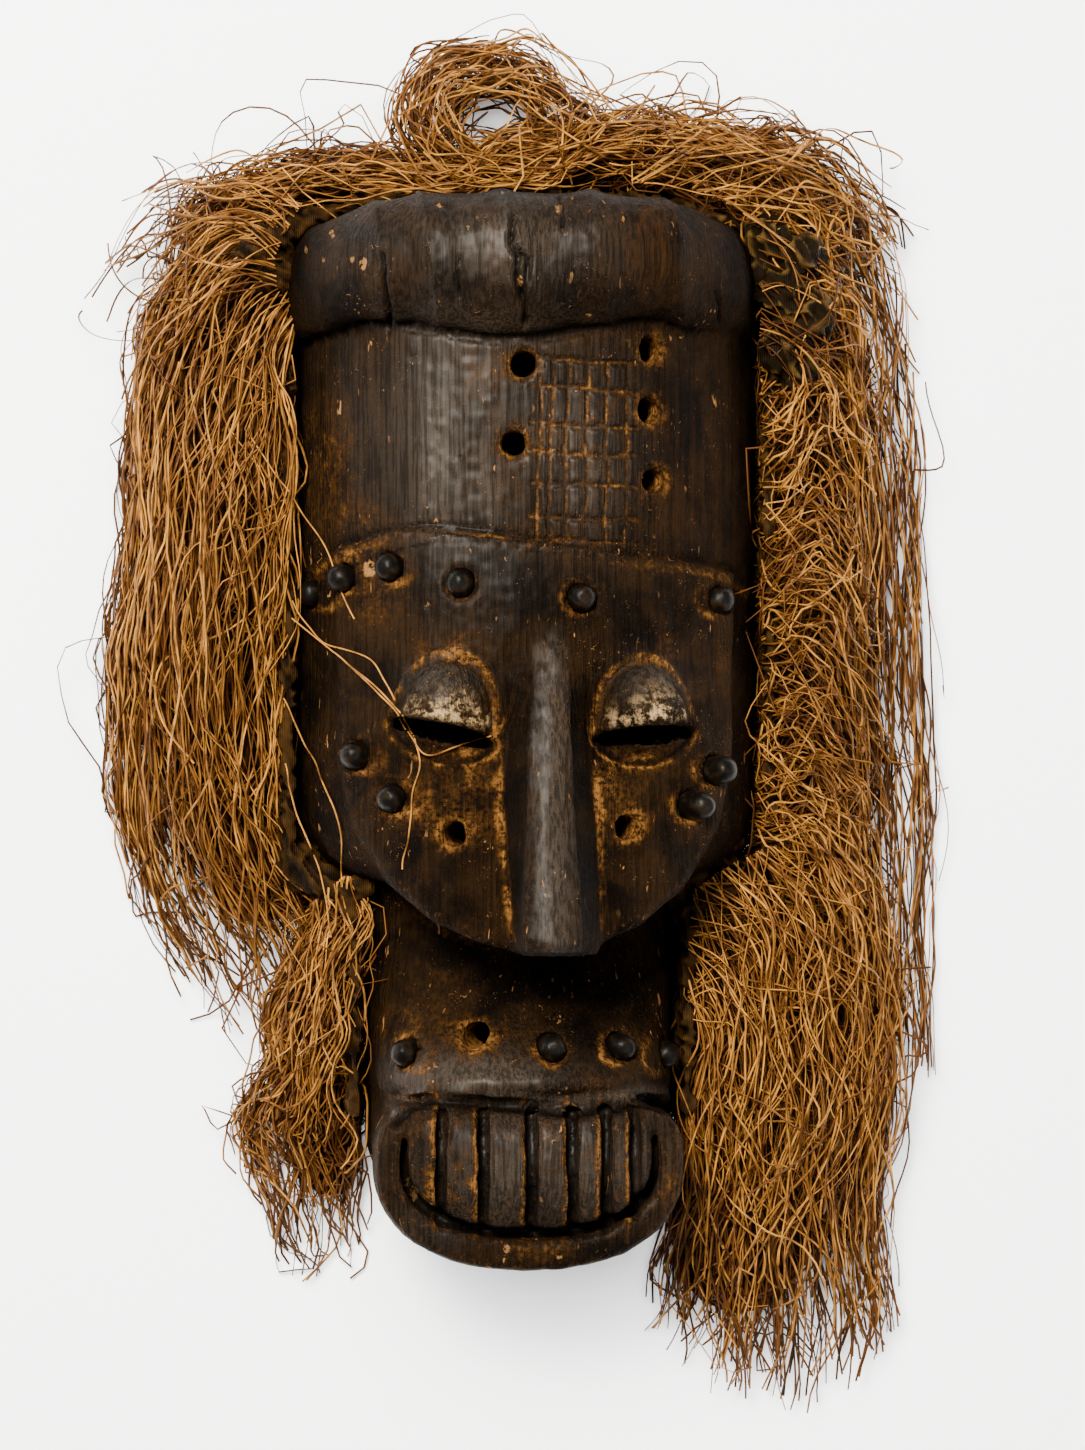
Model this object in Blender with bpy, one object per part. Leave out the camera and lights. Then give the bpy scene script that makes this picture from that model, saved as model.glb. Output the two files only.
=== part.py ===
"""A carved wooden initiation mask with a raffia fringe, lying on its back with the face up.

Sizes are in metres. The mask is modelled with x across the face, y from the chin (0) up to
the crown, and z from the open back (0) out to the face. The last step moves the whole work so
that the bottom of its box is centred on the origin.
"""

from math import copysign, cos, hypot, pi, radians, sin, sqrt

import bmesh
import bpy
from mathutils import Matrix, Vector
from mathutils.bvhtree import BVHTree

# The wooden shell
HEAD_HALF_WIDTH = 0.094
HEAD_DEPTH = 0.098
HEAD_BOTTOM = 0.152
HEAD_TOP = 0.385
HEAD_CORNER = 0.030
HEAD_SQUARENESS = 2.6
WALL = 0.012
CUTTER_MARGIN = 0.010

# The rolled rim round the top of the head
RIM_MIDDLE = 0.3975
RIM_HALF_HEIGHT = 0.0275
RIM_BULGE_SIDE = 0.006
RIM_BULGE_FRONT = 0.017
RIM_SHIFT = -0.003
RIM_CORNER_DROP = 0.016
RIM_WAVE = 0.0035
RIM_WAVE_LENGTH = 0.100
RIM_WAVE_START = -0.008
CAVITY_TOP = 0.404

# The neck and jaw
JAW_SHIFT = -0.0030
JAW_HALF_WIDTH = 0.0622
NECK_HALF_WIDTH = 0.0640
CHIN_RADIUS = 0.044
NECK_DEPTH = 0.058
JAW_DEPTH = 0.096
JAW_FLOOR_DEPTH = 0.080
JAW_SQUARENESS = 3.0

# The face shield that stands proud of the head
SHIELD_HALF_WIDTH = 0.079
SHIELD_CHEEK_Y = 0.205
SHIELD_CHIN_Y = 0.1266
SHIELD_BACK_Z = 0.048
SHIELD_EDGE = 0.0012
BROW_PEAK_X = -0.043
BROW_PEAK_Y = 0.2916
BROW_LEFT_FALL = 6.0
BROW_RIGHT_SLOPE = 0.135
FACE_Z_AT_BROW = 0.1035
FACE_RAKE = 0.060
FACE_SIDE_FALL = 0.028
FACE_SIDE_POWER = 2.4
SIDE_GROOVE_WIDTH = 0.0045
SIDE_GROOVE_DEPTH = 0.006
SIDE_GROOVE_LENGTH = 0.058
SIDE_GROOVE_Y = 0.221

# The nose: (y, base centre x, base half width, ridge centre x, ridge half width, height)
NOSE_STATIONS = (
    (0.1262, 0.0062, 0.0170, 0.0030, 0.0105, 0.021),
    (0.1300, 0.0060, 0.0180, 0.0030, 0.0120, 0.026),
    (0.1470, 0.0054, 0.0180, 0.0026, 0.0110, 0.023),
    (0.1700, 0.0040, 0.0190, 0.0028, 0.0088, 0.019),
    (0.1920, 0.0026, 0.0190, 0.0029, 0.0074, 0.015),
    (0.2110, 0.0012, 0.0185, 0.0023, 0.0066, 0.011),
    (0.2320, 0.0030, 0.0130, 0.0040, 0.0052, 0.005),
    (0.2520, 0.0060, 0.0090, 0.0060, 0.0050, -0.001),
)
NOSE_ROOT = 0.010

# The eyes: centre x, centre y, half width of the lid, height of the lid, tilt in degrees
EYES = {
    "left": (-0.0375, 0.2150, 0.0205, 0.0290, -12.0),
    "right": (0.0412, 0.2140, 0.0195, 0.0280, 5.0),
}
LID_BULGE = 0.0120
LOWER_LID_HEIGHT = 0.0125
LOWER_LID_BULGE = 0.0045
SOCKET_MARGIN = 0.0022
SOCKET_DEPTH = 0.0060
SOCKET_BELOW = 0.0185
SLIT_HALF_HEIGHT = 0.0028
SLIT_SHARE_OF_LID = 0.92
SLIT_BELOW_LID = 0.0018

# The mouth: an oval lip round a block of seven teeth
MOUTH_X = -0.0030
MOUTH_Y = 0.0405
LIP_HALF_WIDTH = 0.0612
LIP_UP = 0.0300
LIP_DOWN = 0.0405
LIP_Z = 0.0910
LIP_CHAMFER = 0.0022
LIP_WIDTH_SIDE = 0.0100
LIP_WIDTH_BELOW = 0.0125
LIP_WIDTH_ABOVE = 0.0040
RECESS_DEPTH = 0.0090
TEETH_HALF_WIDTH = 0.0485
TEETH_MIDDLE_Y = 0.0450
TEETH_UP = 0.0205
TEETH_DOWN = 0.0280
TEETH_ROUNDNESS = 2.3
TEETH_EDGE_Z = 0.0935
TEETH_CROWN = 0.0095
TOOTH_GAPS_X = (-0.0379, -0.0214, -0.0025, 0.0134, 0.0271, 0.0389)
TOOTH_GAP = 0.0028
TOOTH_GAP_DEPTH = 0.0052
TOOTH_SPLAY = 0.8

# Round pegs in bored holes, as (x, y, height of the shaft over the wood), and the holes whose
# pegs are lost, as (x, y)
STUD_RADIUS = 0.0056
STUD_CLEARANCE = 0.0003
STUD_DOME = 0.0050
STUD_LENGTH = 0.0160
STUDS = {
    "stud_brow_1": (-0.936 * HEAD_HALF_WIDTH, 0.2680, 0.0012),
    "stud_brow_2": (-0.819 * HEAD_HALF_WIDTH, 0.2735, 0.0012),
    "stud_brow_3": (-0.623 * HEAD_HALF_WIDTH, 0.2773, 0.0014),
    "stud_brow_4": (-0.333 * HEAD_HALF_WIDTH, 0.2707, 0.0014),
    "stud_brow_5": (0.172 * HEAD_HALF_WIDTH, 0.2649, 0.0016),
    "stud_brow_6": (0.783 * HEAD_HALF_WIDTH, 0.2649, 0.0006),
    "stud_cheek_left_1": (-0.761 * HEAD_HALF_WIDTH, 0.2034, 0.0025),
    "stud_cheek_left_2": (-0.615 * HEAD_HALF_WIDTH, 0.1867, 0.0014),
    "stud_cheek_right_1": (0.75 * HEAD_HALF_WIDTH, 0.1975, 0.0055),
    "stud_cheek_right_2": (0.644 * HEAD_HALF_WIDTH, 0.1837, 0.0070),
    "stud_jaw_1": (-0.828 * JAW_HALF_WIDTH, 0.0852, 0.0012),
    "stud_jaw_2": (0.1 * JAW_HALF_WIDTH, 0.0877, 0.0014),
    "stud_jaw_3": (0.553 * JAW_HALF_WIDTH, 0.0875, 0.0012),
    "stud_jaw_4": (0.868 * JAW_HALF_WIDTH, 0.0830, 0.0012),
}
EMPTY_HOLE_RADIUS = 0.0054
EMPTY_HOLES = (
    (-0.067 * HEAD_HALF_WIDTH, 0.3567),
    (-0.109 * HEAD_HALF_WIDTH, 0.3257),
    (0.479 * HEAD_HALF_WIDTH, 0.3633),
    (0.474 * HEAD_HALF_WIDTH, 0.3393),
    (0.496 * HEAD_HALF_WIDTH, 0.3114),
    (-0.366 * HEAD_HALF_WIDTH, 0.1728),
    (0.37 * HEAD_HALF_WIDTH, 0.1754),
    (-0.392 * JAW_HALF_WIDTH, 0.0923),
)
BORE_DEPTH = 0.040
BORE_ABOVE = 0.012

# The knotted band that carries the raffia, round the sides and the top of the shell
BAND_GAP = 0.0003
BAND_THICKNESS = 0.0070
BAND_LOW_Z = 0.010
BAND_HIGH_Z = 0.046
BAND_START_Y = 0.058
BAND_KNOT_SPACING = 0.028
BAND_KNOT = 0.0016

# The raffia hanks, as (place, place along the run, half width, height) over the floor. Those at
# the sides give how far outside the shell they lie and then y. The crown's gives x and how far
# above the rim it lies.
RAFFIA_GAP = 0.0003
RAFFIA_FLOOR = 0.0005
LOCK_DEPTH = 0.09
LOCKS = 7
RAFFIA_LEFT = (
    (0.028, 0.436, 0.024, 0.036),
    (0.031, 0.415, 0.040, 0.054),
    (0.033, 0.350, 0.044, 0.062),
    (0.035, 0.300, 0.046, 0.064),
    (0.036, 0.250, 0.047, 0.062),
    (0.032, 0.200, 0.044, 0.056),
    (0.026, 0.160, 0.038, 0.042),
    (0.022, 0.125, 0.031, 0.026),
    (0.022, 0.102, 0.015, 0.012),
)
RAFFIA_LEFT_LOWER = (
    (0.009, 0.148, 0.014, 0.038),
    (0.015, 0.120, 0.026, 0.046),
    (0.017, 0.085, 0.029, 0.042),
    (0.020, 0.050, 0.030, 0.034),
    (0.019, 0.020, 0.023, 0.021),
    (0.018, 0.002, 0.010, 0.012),
)
RAFFIA_RIGHT = (
    (0.019, 0.420, 0.022, 0.036),
    (0.026, 0.395, 0.030, 0.052),
    (0.027, 0.350, 0.034, 0.060),
    (0.028, 0.300, 0.034, 0.062),
    (0.027, 0.250, 0.034, 0.062),
    (0.024, 0.200, 0.036, 0.060),
    (0.018, 0.160, 0.046, 0.057),
    (0.014, 0.120, 0.052, 0.054),
    (0.014, 0.080, 0.053, 0.050),
    (0.014, 0.040, 0.053, 0.046),
    (0.011, 0.000, 0.052, 0.040),
    (0.010, -0.030, 0.044, 0.032),
    (0.014, -0.050, 0.028, 0.022),
    (0.016, -0.060, 0.012, 0.012),
)
RAFFIA_CROWN = (
    (-0.132, -0.001, 0.010, 0.030),
    (-0.100, 0.004, 0.014, 0.036),
    (-0.060, 0.013, 0.016, 0.040),
    (-0.020, 0.019, 0.019, 0.046),
    (0.020, 0.024, 0.022, 0.050),
    (0.050, 0.024, 0.024, 0.050),
    (0.080, 0.015, 0.024, 0.046),
    (0.108, 0.003, 0.016, 0.035),
)
KNOT_X = -0.009
KNOT_ABOVE_RIM = 0.039
KNOT_RING_HALF_WIDTH = 0.0255
KNOT_RING_HALF_HEIGHT = 0.0185
KNOT_ROPE_RADIUS = 0.0120

# How finely round shapes are cut
ARCH_STEPS = 28
HOLLOW_STEPS = 16
OUTLINE_STEPS = 36
HANK_STEPS = 14
KNOT_STEPS = 24
STUD_SIDES = 12


def material(name, colour, roughness, metallic=0.0):
    """A plain surface in the piece's own colour."""
    made = bpy.data.materials.new(name)
    made.use_nodes = True
    shader = made.node_tree.nodes["Principled BSDF"]
    shader.inputs["Base Color"].default_value = (*colour, 1.0)
    shader.inputs["Roughness"].default_value = roughness
    shader.inputs["Metallic"].default_value = metallic
    return made


def solid(name, points, faces):
    """One closed object from points and faces, with its faces turned outwards."""
    mesh = bpy.data.meshes.new(name)
    form = bmesh.new()
    corners = [form.verts.new(point) for point in points]
    for face in faces:
        form.faces.new([corners[index] for index in face])
    bmesh.ops.recalc_face_normals(form, faces=form.faces)
    form.to_mesh(mesh)
    form.free()
    made = bpy.data.objects.new(name, mesh)
    bpy.context.scene.collection.objects.link(made)
    return made


def loft(name, rings):
    """A solid skinned through rings of equally many points, with flat ends."""
    count = len(rings[0])
    points = [point for ring in rings for point in ring]
    faces = [tuple(range(count)), tuple(range(len(points) - count, len(points)))]
    for low in range(0, len(points) - count, count):
        for side in range(count):
            after = (side + 1) % count
            faces.append((low + side, low + after, low + count + after, low + count + side))
    return solid(name, points, faces)


def helper(made):
    """A shape that only joins or cuts another, and isn't part of the work itself."""
    made.hide_render = True
    made.display_type = "WIRE"
    return made


def group(name, members):
    """A collection that one modifier can join or cut with."""
    made = bpy.data.collections.new(name)
    for member in members:
        bpy.context.scene.collection.objects.unlink(helper(member))
        made.objects.link(member)
    bpy.context.scene.collection.children.link(made)
    return made


def combine(target, operation, members):
    """Joins the members to the target, or cuts them from it, in one step."""
    modifier = target.modifiers.new(operation.title(), "BOOLEAN")
    modifier.operation = operation
    modifier.solver = "EXACT"
    modifier.operand_type = "COLLECTION"
    modifier.collection = group(f"{target.name}_{operation.lower()}_{len(target.modifiers)}", members)


def signed_power(value, power):
    return copysign(abs(value) ** power, value)


def arch(y, half_width, depth, squareness, centre=0.0, lift=None, steps=ARCH_STEPS):
    """A half round section across the mask, flat at the back. lift moves points along y."""
    ring = []
    for step in range(steps + 1):
        turn = pi * step / steps
        x = half_width * signed_power(cos(turn), 2 / squareness)
        z = depth * abs(sin(turn)) ** (2 / squareness)
        ring.append((centre + x, y + (lift(x) if lift else 0.0), z))
    return ring


def hollow_arch(y, half_width, depth):
    """The same section for the hollow, carried on below the open back."""
    centre = JAW_SHIFT if y < HEAD_BOTTOM else 0.0
    front = arch(y, half_width, depth, HEAD_SQUARENESS, centre, steps=HOLLOW_STEPS)
    return [(centre + half_width, y, -CUTTER_MARGIN), *front, (centre - half_width, y, -CUTTER_MARGIN)]


def head_corner(share):
    """How much narrower the head is in the round of its lower corners, from 1 (end) to 0."""
    return HEAD_CORNER * (1 - sqrt(1 - share * share))


def head():
    """The tall half cylinder of the forehead and the sides of the face."""
    rings = []
    for share in (1.0, 0.9, 0.65, 0.3, 0.0):
        y = HEAD_BOTTOM + HEAD_CORNER * (1 - share)
        inset = head_corner(share)
        rings.append(arch(y, HEAD_HALF_WIDTH - inset, HEAD_DEPTH - inset * 0.7, HEAD_SQUARENESS))
    rings.append(arch(HEAD_TOP, HEAD_HALF_WIDTH, HEAD_DEPTH, HEAD_SQUARENESS))
    return loft("head", rings)


def rim():
    """The thick rolled rim, with a wavy lower edge and rounded top corners."""
    steps = 8
    rings = []
    for step in range(steps + 1):
        rise = sin(pi * (step / steps - 0.5))
        swell = sqrt(max(0.0, 1 - rise * rise))
        half_width = HEAD_HALF_WIDTH - 0.003 + (RIM_BULGE_SIDE + 0.003) * swell
        depth = HEAD_DEPTH - 0.003 + (RIM_BULGE_FRONT + 0.003) * swell ** 0.8
        upper = (1 + rise) / 2

        def lift(x, upper=upper):
            drop = RIM_CORNER_DROP * (abs(x) / HEAD_HALF_WIDTH) ** 4
            wave = RIM_WAVE * cos(2 * pi * (x - RIM_WAVE_START) / RIM_WAVE_LENGTH)
            return -upper * drop - (1 - upper) * wave

        y = RIM_MIDDLE + RIM_HALF_HEIGHT * rise
        rings.append(arch(y, half_width, depth, HEAD_SQUARENESS, RIM_SHIFT, lift))
    return loft("rim", rings)


def chin_share(y):
    """Width of the jaw as a share of its full width, rounded off towards the chin."""
    if y >= CHIN_RADIUS:
        return 1.0
    return sqrt(max(0.0, 1 - (1 - y / CHIN_RADIUS) ** 2))


def jaw_profile():
    """(y, half width, depth) from the chin to the neck inside the head."""
    chin = [0.0008, 0.004, 0.011, 0.023, CHIN_RADIUS]
    lip_top = MOUTH_Y + LIP_UP
    edge = 0.004
    return [
        *((y, JAW_HALF_WIDTH * chin_share(y), JAW_FLOOR_DEPTH) for y in chin),
        (lip_top - edge, JAW_HALF_WIDTH, JAW_FLOOR_DEPTH),
        (lip_top, JAW_HALF_WIDTH, JAW_DEPTH - 0.002),
        (lip_top + edge, JAW_HALF_WIDTH, JAW_DEPTH),
        (lip_top + 0.014, JAW_HALF_WIDTH, JAW_DEPTH - 0.007),
        (lip_top + 0.025, JAW_HALF_WIDTH, JAW_DEPTH - 0.019),
        (lip_top + 0.040, NECK_HALF_WIDTH, NECK_DEPTH + 0.008),
        (lip_top + 0.060, NECK_HALF_WIDTH, NECK_DEPTH),
        (HEAD_BOTTOM + HEAD_CORNER, NECK_HALF_WIDTH, NECK_DEPTH),
    ]


def jaw():
    """The neck, which sinks back below the face, and the jaw that carries the mouth."""
    return loft("jaw", [arch(y, w, d, JAW_SQUARENESS, JAW_SHIFT) for y, w, d in jaw_profile()])


def cavity():
    """The hollow of the shell, open at the back."""
    neck_width = NECK_HALF_WIDTH - WALL
    neck_depth = NECK_DEPTH - WALL
    width = HEAD_HALF_WIDTH - WALL
    depth = HEAD_DEPTH - WALL
    stations = [
        (WALL + 0.004, neck_width * 0.62, JAW_FLOOR_DEPTH - WALL - 0.008),
        (WALL + 0.012, neck_width * 0.86, JAW_FLOOR_DEPTH - WALL),
        (MOUTH_Y, neck_width, JAW_FLOOR_DEPTH - WALL),
        (MOUTH_Y + LIP_UP, neck_width, JAW_FLOOR_DEPTH - WALL),
        (MOUTH_Y + LIP_UP + 0.020, neck_width, neck_depth + 0.008),
        (HEAD_BOTTOM - 0.010, neck_width, neck_depth),
        (HEAD_BOTTOM + 0.012, neck_width + 0.004, neck_depth + 0.008),
        (HEAD_BOTTOM + 0.024, width - 0.012, depth - 0.020),
        (HEAD_BOTTOM + 0.040, width, depth),
        (CAVITY_TOP - 0.012, width, depth),
        (CAVITY_TOP - 0.004, width - 0.005, depth - 0.006),
        (CAVITY_TOP, width - 0.013, depth - 0.014),
    ]
    return loft("cavity", [hollow_arch(y, w, d) for y, w, d in stations])


def brow_y(x):
    """Height of the brow's edge, an arc that peaks left of the middle."""
    away = x - BROW_PEAK_X
    if away < 0:
        return BROW_PEAK_Y - BROW_LEFT_FALL * away * away
    return BROW_PEAK_Y - BROW_RIGHT_SLOPE * away


def face_z(x, y):
    """The shield's front, which rakes forward to the chin and falls away to the sides."""
    side = min(1.0, abs(x) / SHIELD_HALF_WIDTH)
    forward = FACE_RAKE * (BROW_PEAK_Y - y)
    return FACE_Z_AT_BROW + forward - FACE_SIDE_FALL * side**FACE_SIDE_POWER


def shield_row(half_width, share):
    """One row across the shield: share is 0 at the cheeks, 1 at the brow and -1 at the chin."""
    columns = (-1.0, -0.97, -0.85, -0.7, -0.55, -0.4, -0.25, -0.1)
    front = []
    for column in [*columns, *(-column for column in reversed(columns))]:
        x = half_width * column
        reach = brow_y(x) - SHIELD_CHEEK_Y if share > 0 else SHIELD_CHEEK_Y - SHIELD_CHIN_Y
        y = SHIELD_CHEEK_Y + share * reach
        edge = SHIELD_EDGE if abs(column) == 1.0 or share == 1.0 else 0.0
        front.append((x, y, face_z(x, y) - edge))
    ends = [(x, y, SHIELD_BACK_Z) for x, y, z in (front[0], front[-1])]
    return [ends[0], *front, ends[1]]


def crowned(name, outline, centre, low_z, height, shares):
    """A solid on an outline whose front follows height(x, y), in rings towards the centre."""
    rings = [[(x, y, low_z) for x, y in outline]]
    for share in shares:
        ring = []
        for x, y in outline:
            at = (centre[0] + (x - centre[0]) * share, centre[1] + (y - centre[1]) * share)
            ring.append((*at, height(*at, share)))
        rings.append(ring)
    return loft(name, rings)


def shield():
    """The face itself, proud of the head and overhanging the neck."""
    rings = []
    for turn in (8, 18, 32, 48, 68):
        drop = cos(radians(turn))
        rings.append(shield_row(SHIELD_HALF_WIDTH * sin(radians(turn)), -drop))
    for share in (0.0, 0.25, 0.5, 0.75, 0.985):
        rings.append(shield_row(SHIELD_HALF_WIDTH, share))
    rings.append(shield_row(SHIELD_HALF_WIDTH, 1.0))
    return loft("shield", rings)


def side_grooves():
    """The two channels that part the face from the sides of the head."""
    cutters = []
    for side in (-1, 1):
        x = side * (SHIELD_HALF_WIDTH + SIDE_GROOVE_WIDTH * 0.3)
        z = face_z(x, SIDE_GROOVE_Y) - SIDE_GROOVE_DEPTH
        rings = []
        for end in (-1.0, -0.7, 0.7, 1.0):
            half = SIDE_GROOVE_WIDTH / 2 * (0.25 if abs(end) == 1.0 else 1.0)
            y = SIDE_GROOVE_Y + end * SIDE_GROOVE_LENGTH / 2
            low = z if abs(end) < 1.0 else z + SIDE_GROOVE_DEPTH * 0.7
            high = z + SIDE_GROOVE_DEPTH + CUTTER_MARGIN
            rings.append([(x - half, y, low), (x + half, y, low), (x + half, y, high), (x - half, y, high)])
        cutters.append(loft("side_groove", rings))
    return cutters


def nose():
    """A long straight nose that deepens towards its square tip."""
    rings = []
    for y, base_x, base, ridge_x, ridge, height in NOSE_STATIONS:
        z = face_z(base_x, y)
        rings.append(
            [
                (base_x - base, y, z - NOSE_ROOT),
                (base_x - base * 0.93, y, z + 0.25 * height),
                (ridge_x - ridge, y, z + 0.86 * height),
                (ridge_x - ridge * 0.55, y, z + height),
                (ridge_x + ridge * 0.45, y, z + height),
                (ridge_x + ridge, y, z + 0.84 * height),
                (base_x + base * 0.93, y, z + 0.25 * height),
                (base_x + base, y, z - NOSE_ROOT),
            ]
        )
    return loft("nose", rings)


def ball(name, radii, place, tilt=0.0, keep_above=False, keep_below=False):
    """An ellipsoid, whole or only its half above or below its own middle line."""
    mesh = bpy.data.meshes.new(name)
    form = bmesh.new()
    bmesh.ops.create_uvsphere(form, u_segments=18, v_segments=8, radius=1.0)
    if keep_above or keep_below:
        geometry = [*form.verts, *form.edges, *form.faces]
        up = Vector((0, 1, 0)) if keep_above else Vector((0, -1, 0))
        cut = bmesh.ops.bisect_plane(
            form, geom=geometry, plane_co=(0, 0, 0), plane_no=up, clear_inner=True
        )
        rim_edges = [item for item in cut["geom_cut"] if isinstance(item, bmesh.types.BMEdge)]
        bmesh.ops.edgeloop_fill(form, edges=rim_edges)
    turn = Matrix.Rotation(radians(tilt), 4, "Z") @ Matrix.Diagonal((*radii, 1.0))
    bmesh.ops.transform(form, matrix=Matrix.Translation(place) @ turn, verts=form.verts)
    bmesh.ops.recalc_face_normals(form, faces=form.faces)
    form.to_mesh(mesh)
    form.free()
    made = bpy.data.objects.new(name, mesh)
    bpy.context.scene.collection.objects.link(made)
    return made


def eye_cutters():
    """Sunken sockets, a little wider than the lids."""
    cutters = []
    for x, y, half_width, height, tilt in EYES.values():
        middle = y + (height - SOCKET_BELOW) / 2
        reach = 1 / sqrt(0.75)
        radii = (
            (half_width + SOCKET_MARGIN) * reach,
            ((height + SOCKET_BELOW) / 2 + SOCKET_MARGIN * 0.6) * reach,
            2 * SOCKET_DEPTH,
        )
        place = (x, middle, face_z(x, middle) + SOCKET_DEPTH)
        cutters.append(ball("socket", radii, place, tilt * 0.5))
    return cutters


def lids():
    """The bulging upper lids and the low lower ones."""
    made = []
    for x, y, half_width, height, tilt in EYES.values():
        z = face_z(x, y) - SOCKET_DEPTH
        upper = (half_width, height, LID_BULGE + SOCKET_DEPTH)
        made.append(ball("upper_lid", upper, (x, y, z), tilt, keep_above=True))
        lower = (half_width * 0.92, LOWER_LID_HEIGHT, LOWER_LID_BULGE + SOCKET_DEPTH * 0.5)
        drop = 0.0006
        made.append(ball("lower_lid", lower, (x, y + drop, z), tilt, keep_below=True))
    return made


def slits():
    """Narrow lens shaped openings through the shell under the upper lids."""
    cutters = []
    steps = 10
    for x, y, half_width, height, tilt in EYES.values():
        half = half_width * SLIT_SHARE_OF_LID
        outline = []
        for side in (-1, 1):
            for step in range(steps):
                turn = pi * step / steps
                along = side * half * cos(turn)
                across = side * SLIT_HALF_HEIGHT * sin(turn) - SLIT_BELOW_LID
                outline.append((along, across))
        lean = radians(tilt)
        turned = [
            (x + a * cos(lean) - b * sin(lean), y + a * sin(lean) + b * cos(lean)) for a, b in outline
        ]
        rings = [[(px, py, z) for px, py in turned] for z in (SHIELD_BACK_Z, FACE_Z_AT_BROW * 1.5)]
        cutters.append(loft("slit", rings))
    return cutters


def oval(middle_y, half_width, up, down, squareness_up, squareness_down):
    """A D shaped outline, square above and rounder below, round the mouth's middle."""
    points = []
    for step in range(OUTLINE_STEPS):
        turn = 2 * pi * step / OUTLINE_STEPS
        rise = sin(turn)
        power = 2 / (squareness_up if rise > 0 else squareness_down)
        x = half_width * signed_power(cos(turn), power)
        points.append((MOUTH_X + x, middle_y + (up if rise > 0 else down) * signed_power(rise, power)))
    return points


def lip():
    """The flat oval lip."""
    outline = oval(MOUTH_Y, LIP_HALF_WIDTH, LIP_UP, LIP_DOWN, 3.6, 2.25)
    inner = 1 - LIP_CHAMFER / LIP_DOWN

    def height(x, y, share):
        return LIP_Z - (LIP_CHAMFER if share == 1.0 else 0.0)

    return crowned("lip", outline, (MOUTH_X, MOUTH_Y), NECK_DEPTH, height, (1.0, inner))


def mouth_recess():
    """The channel between the lip and the teeth."""
    outline = oval(
        MOUTH_Y,
        LIP_HALF_WIDTH - LIP_WIDTH_SIDE,
        LIP_UP - LIP_WIDTH_ABOVE,
        LIP_DOWN - LIP_WIDTH_BELOW,
        3.6,
        2.25,
    )
    rings = [[(x, y, z) for x, y in outline] for z in (LIP_Z - RECESS_DEPTH, LIP_Z + 2 * CUTTER_MARGIN)]
    return loft("mouth_recess", rings)


def teeth():
    """The bulging block that the teeth are cut into."""
    outline = oval(TEETH_MIDDLE_Y, TEETH_HALF_WIDTH, TEETH_UP, TEETH_DOWN, 4.5, TEETH_ROUNDNESS)
    centre = (MOUTH_X, TEETH_MIDDLE_Y)

    def height(x, y, share):
        return TEETH_EDGE_Z + TEETH_CROWN * (1 - share * share)

    return crowned("teeth", outline, centre, LIP_Z - RECESS_DEPTH - 0.004, height, (1.0, 0.93, 0.7, 0.4))


def tooth_gaps():
    """Straight grooves between the teeth, as deep at their ends as in the middle."""
    cutters = []
    top = TEETH_MIDDLE_Y + TEETH_UP - 0.0005
    steps = 5
    for gap_x in TOOTH_GAPS_X:
        across = (gap_x - MOUTH_X) / TEETH_HALF_WIDTH
        down = TEETH_DOWN * (1 - abs(across) ** TEETH_ROUNDNESS) ** (1 / TEETH_ROUNDNESS)
        bottom = TEETH_MIDDLE_Y - down - 0.0012
        rings = []
        for step in range(steps + 1):
            y = bottom + (top - bottom) * step / steps
            off = y - TEETH_MIDDLE_Y
            along = off / (TEETH_UP if off > 0 else TEETH_DOWN)
            swell = max(0.0, 1 - across * across - along * along)
            low = TEETH_EDGE_Z + TEETH_CROWN * swell - TOOTH_GAP_DEPTH
            high = LIP_Z + 2 * CUTTER_MARGIN
            x = gap_x + off * TOOTH_SPLAY * (MOUTH_X - gap_x)
            half = TOOTH_GAP / 2
            rings.append([(x - half, y, low), (x + half, y, low), (x + half, y, high), (x - half, y, high)])
        cutters.append(loft("tooth_gap", rings))
    return cutters


def turned(name, profile, sides):
    """A solid turned round z from (radius, z) pairs, closed at both ends."""
    rings = []
    for radius, z in profile:
        rings.append(
            [
                (radius * cos(2 * pi * side / sides), radius * sin(2 * pi * side / sides), z)
                for side in range(sides)
            ]
        )
    return loft(name, rings)


def surface_point(tree, x, y):
    """Where the front of the wood lies at (x, y), and the way a peg points there."""
    hit = tree.ray_cast(Vector((x, y, 1.0)), Vector((0, 0, -1)))[0]
    return hit, Vector((hit.x, 0.0, hit.z)).normalized()


def set_on(made, place, axis):
    """Stands a turned piece on a point of the wood, along the axis."""
    turn = Vector((0, 0, 1)).rotation_difference(axis)
    made.location = place
    made.rotation_mode = "QUATERNION"
    made.rotation_quaternion = turn


def pegs_and_bores(tree):
    """Every peg, and the bores for the pegs and for the lost ones."""
    studs, bores = [], []
    places = []
    for name, (x, y, proud) in STUDS.items():
        profile = [(STUD_RADIUS, -STUD_LENGTH), (STUD_RADIUS, proud)]
        for turn in (30, 62):
            share = radians(turn)
            profile.append((STUD_RADIUS * cos(share), proud + STUD_DOME * sin(share)))
        stud = turned(name, profile, STUD_SIDES)
        set_on(stud, *surface_point(tree, x, y))
        studs.append(stud)
        places.append((STUD_RADIUS + STUD_CLEARANCE, x, y))
    places += [(EMPTY_HOLE_RADIUS, x, y) for x, y in EMPTY_HOLES]
    for radius, x, y in places:
        bore = turned("bore", [(radius, -BORE_DEPTH), (radius, BORE_ABOVE)], STUD_SIDES)
        set_on(bore, *surface_point(tree, x, y))
        bores.append(bore)
    return studs, bores


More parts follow.
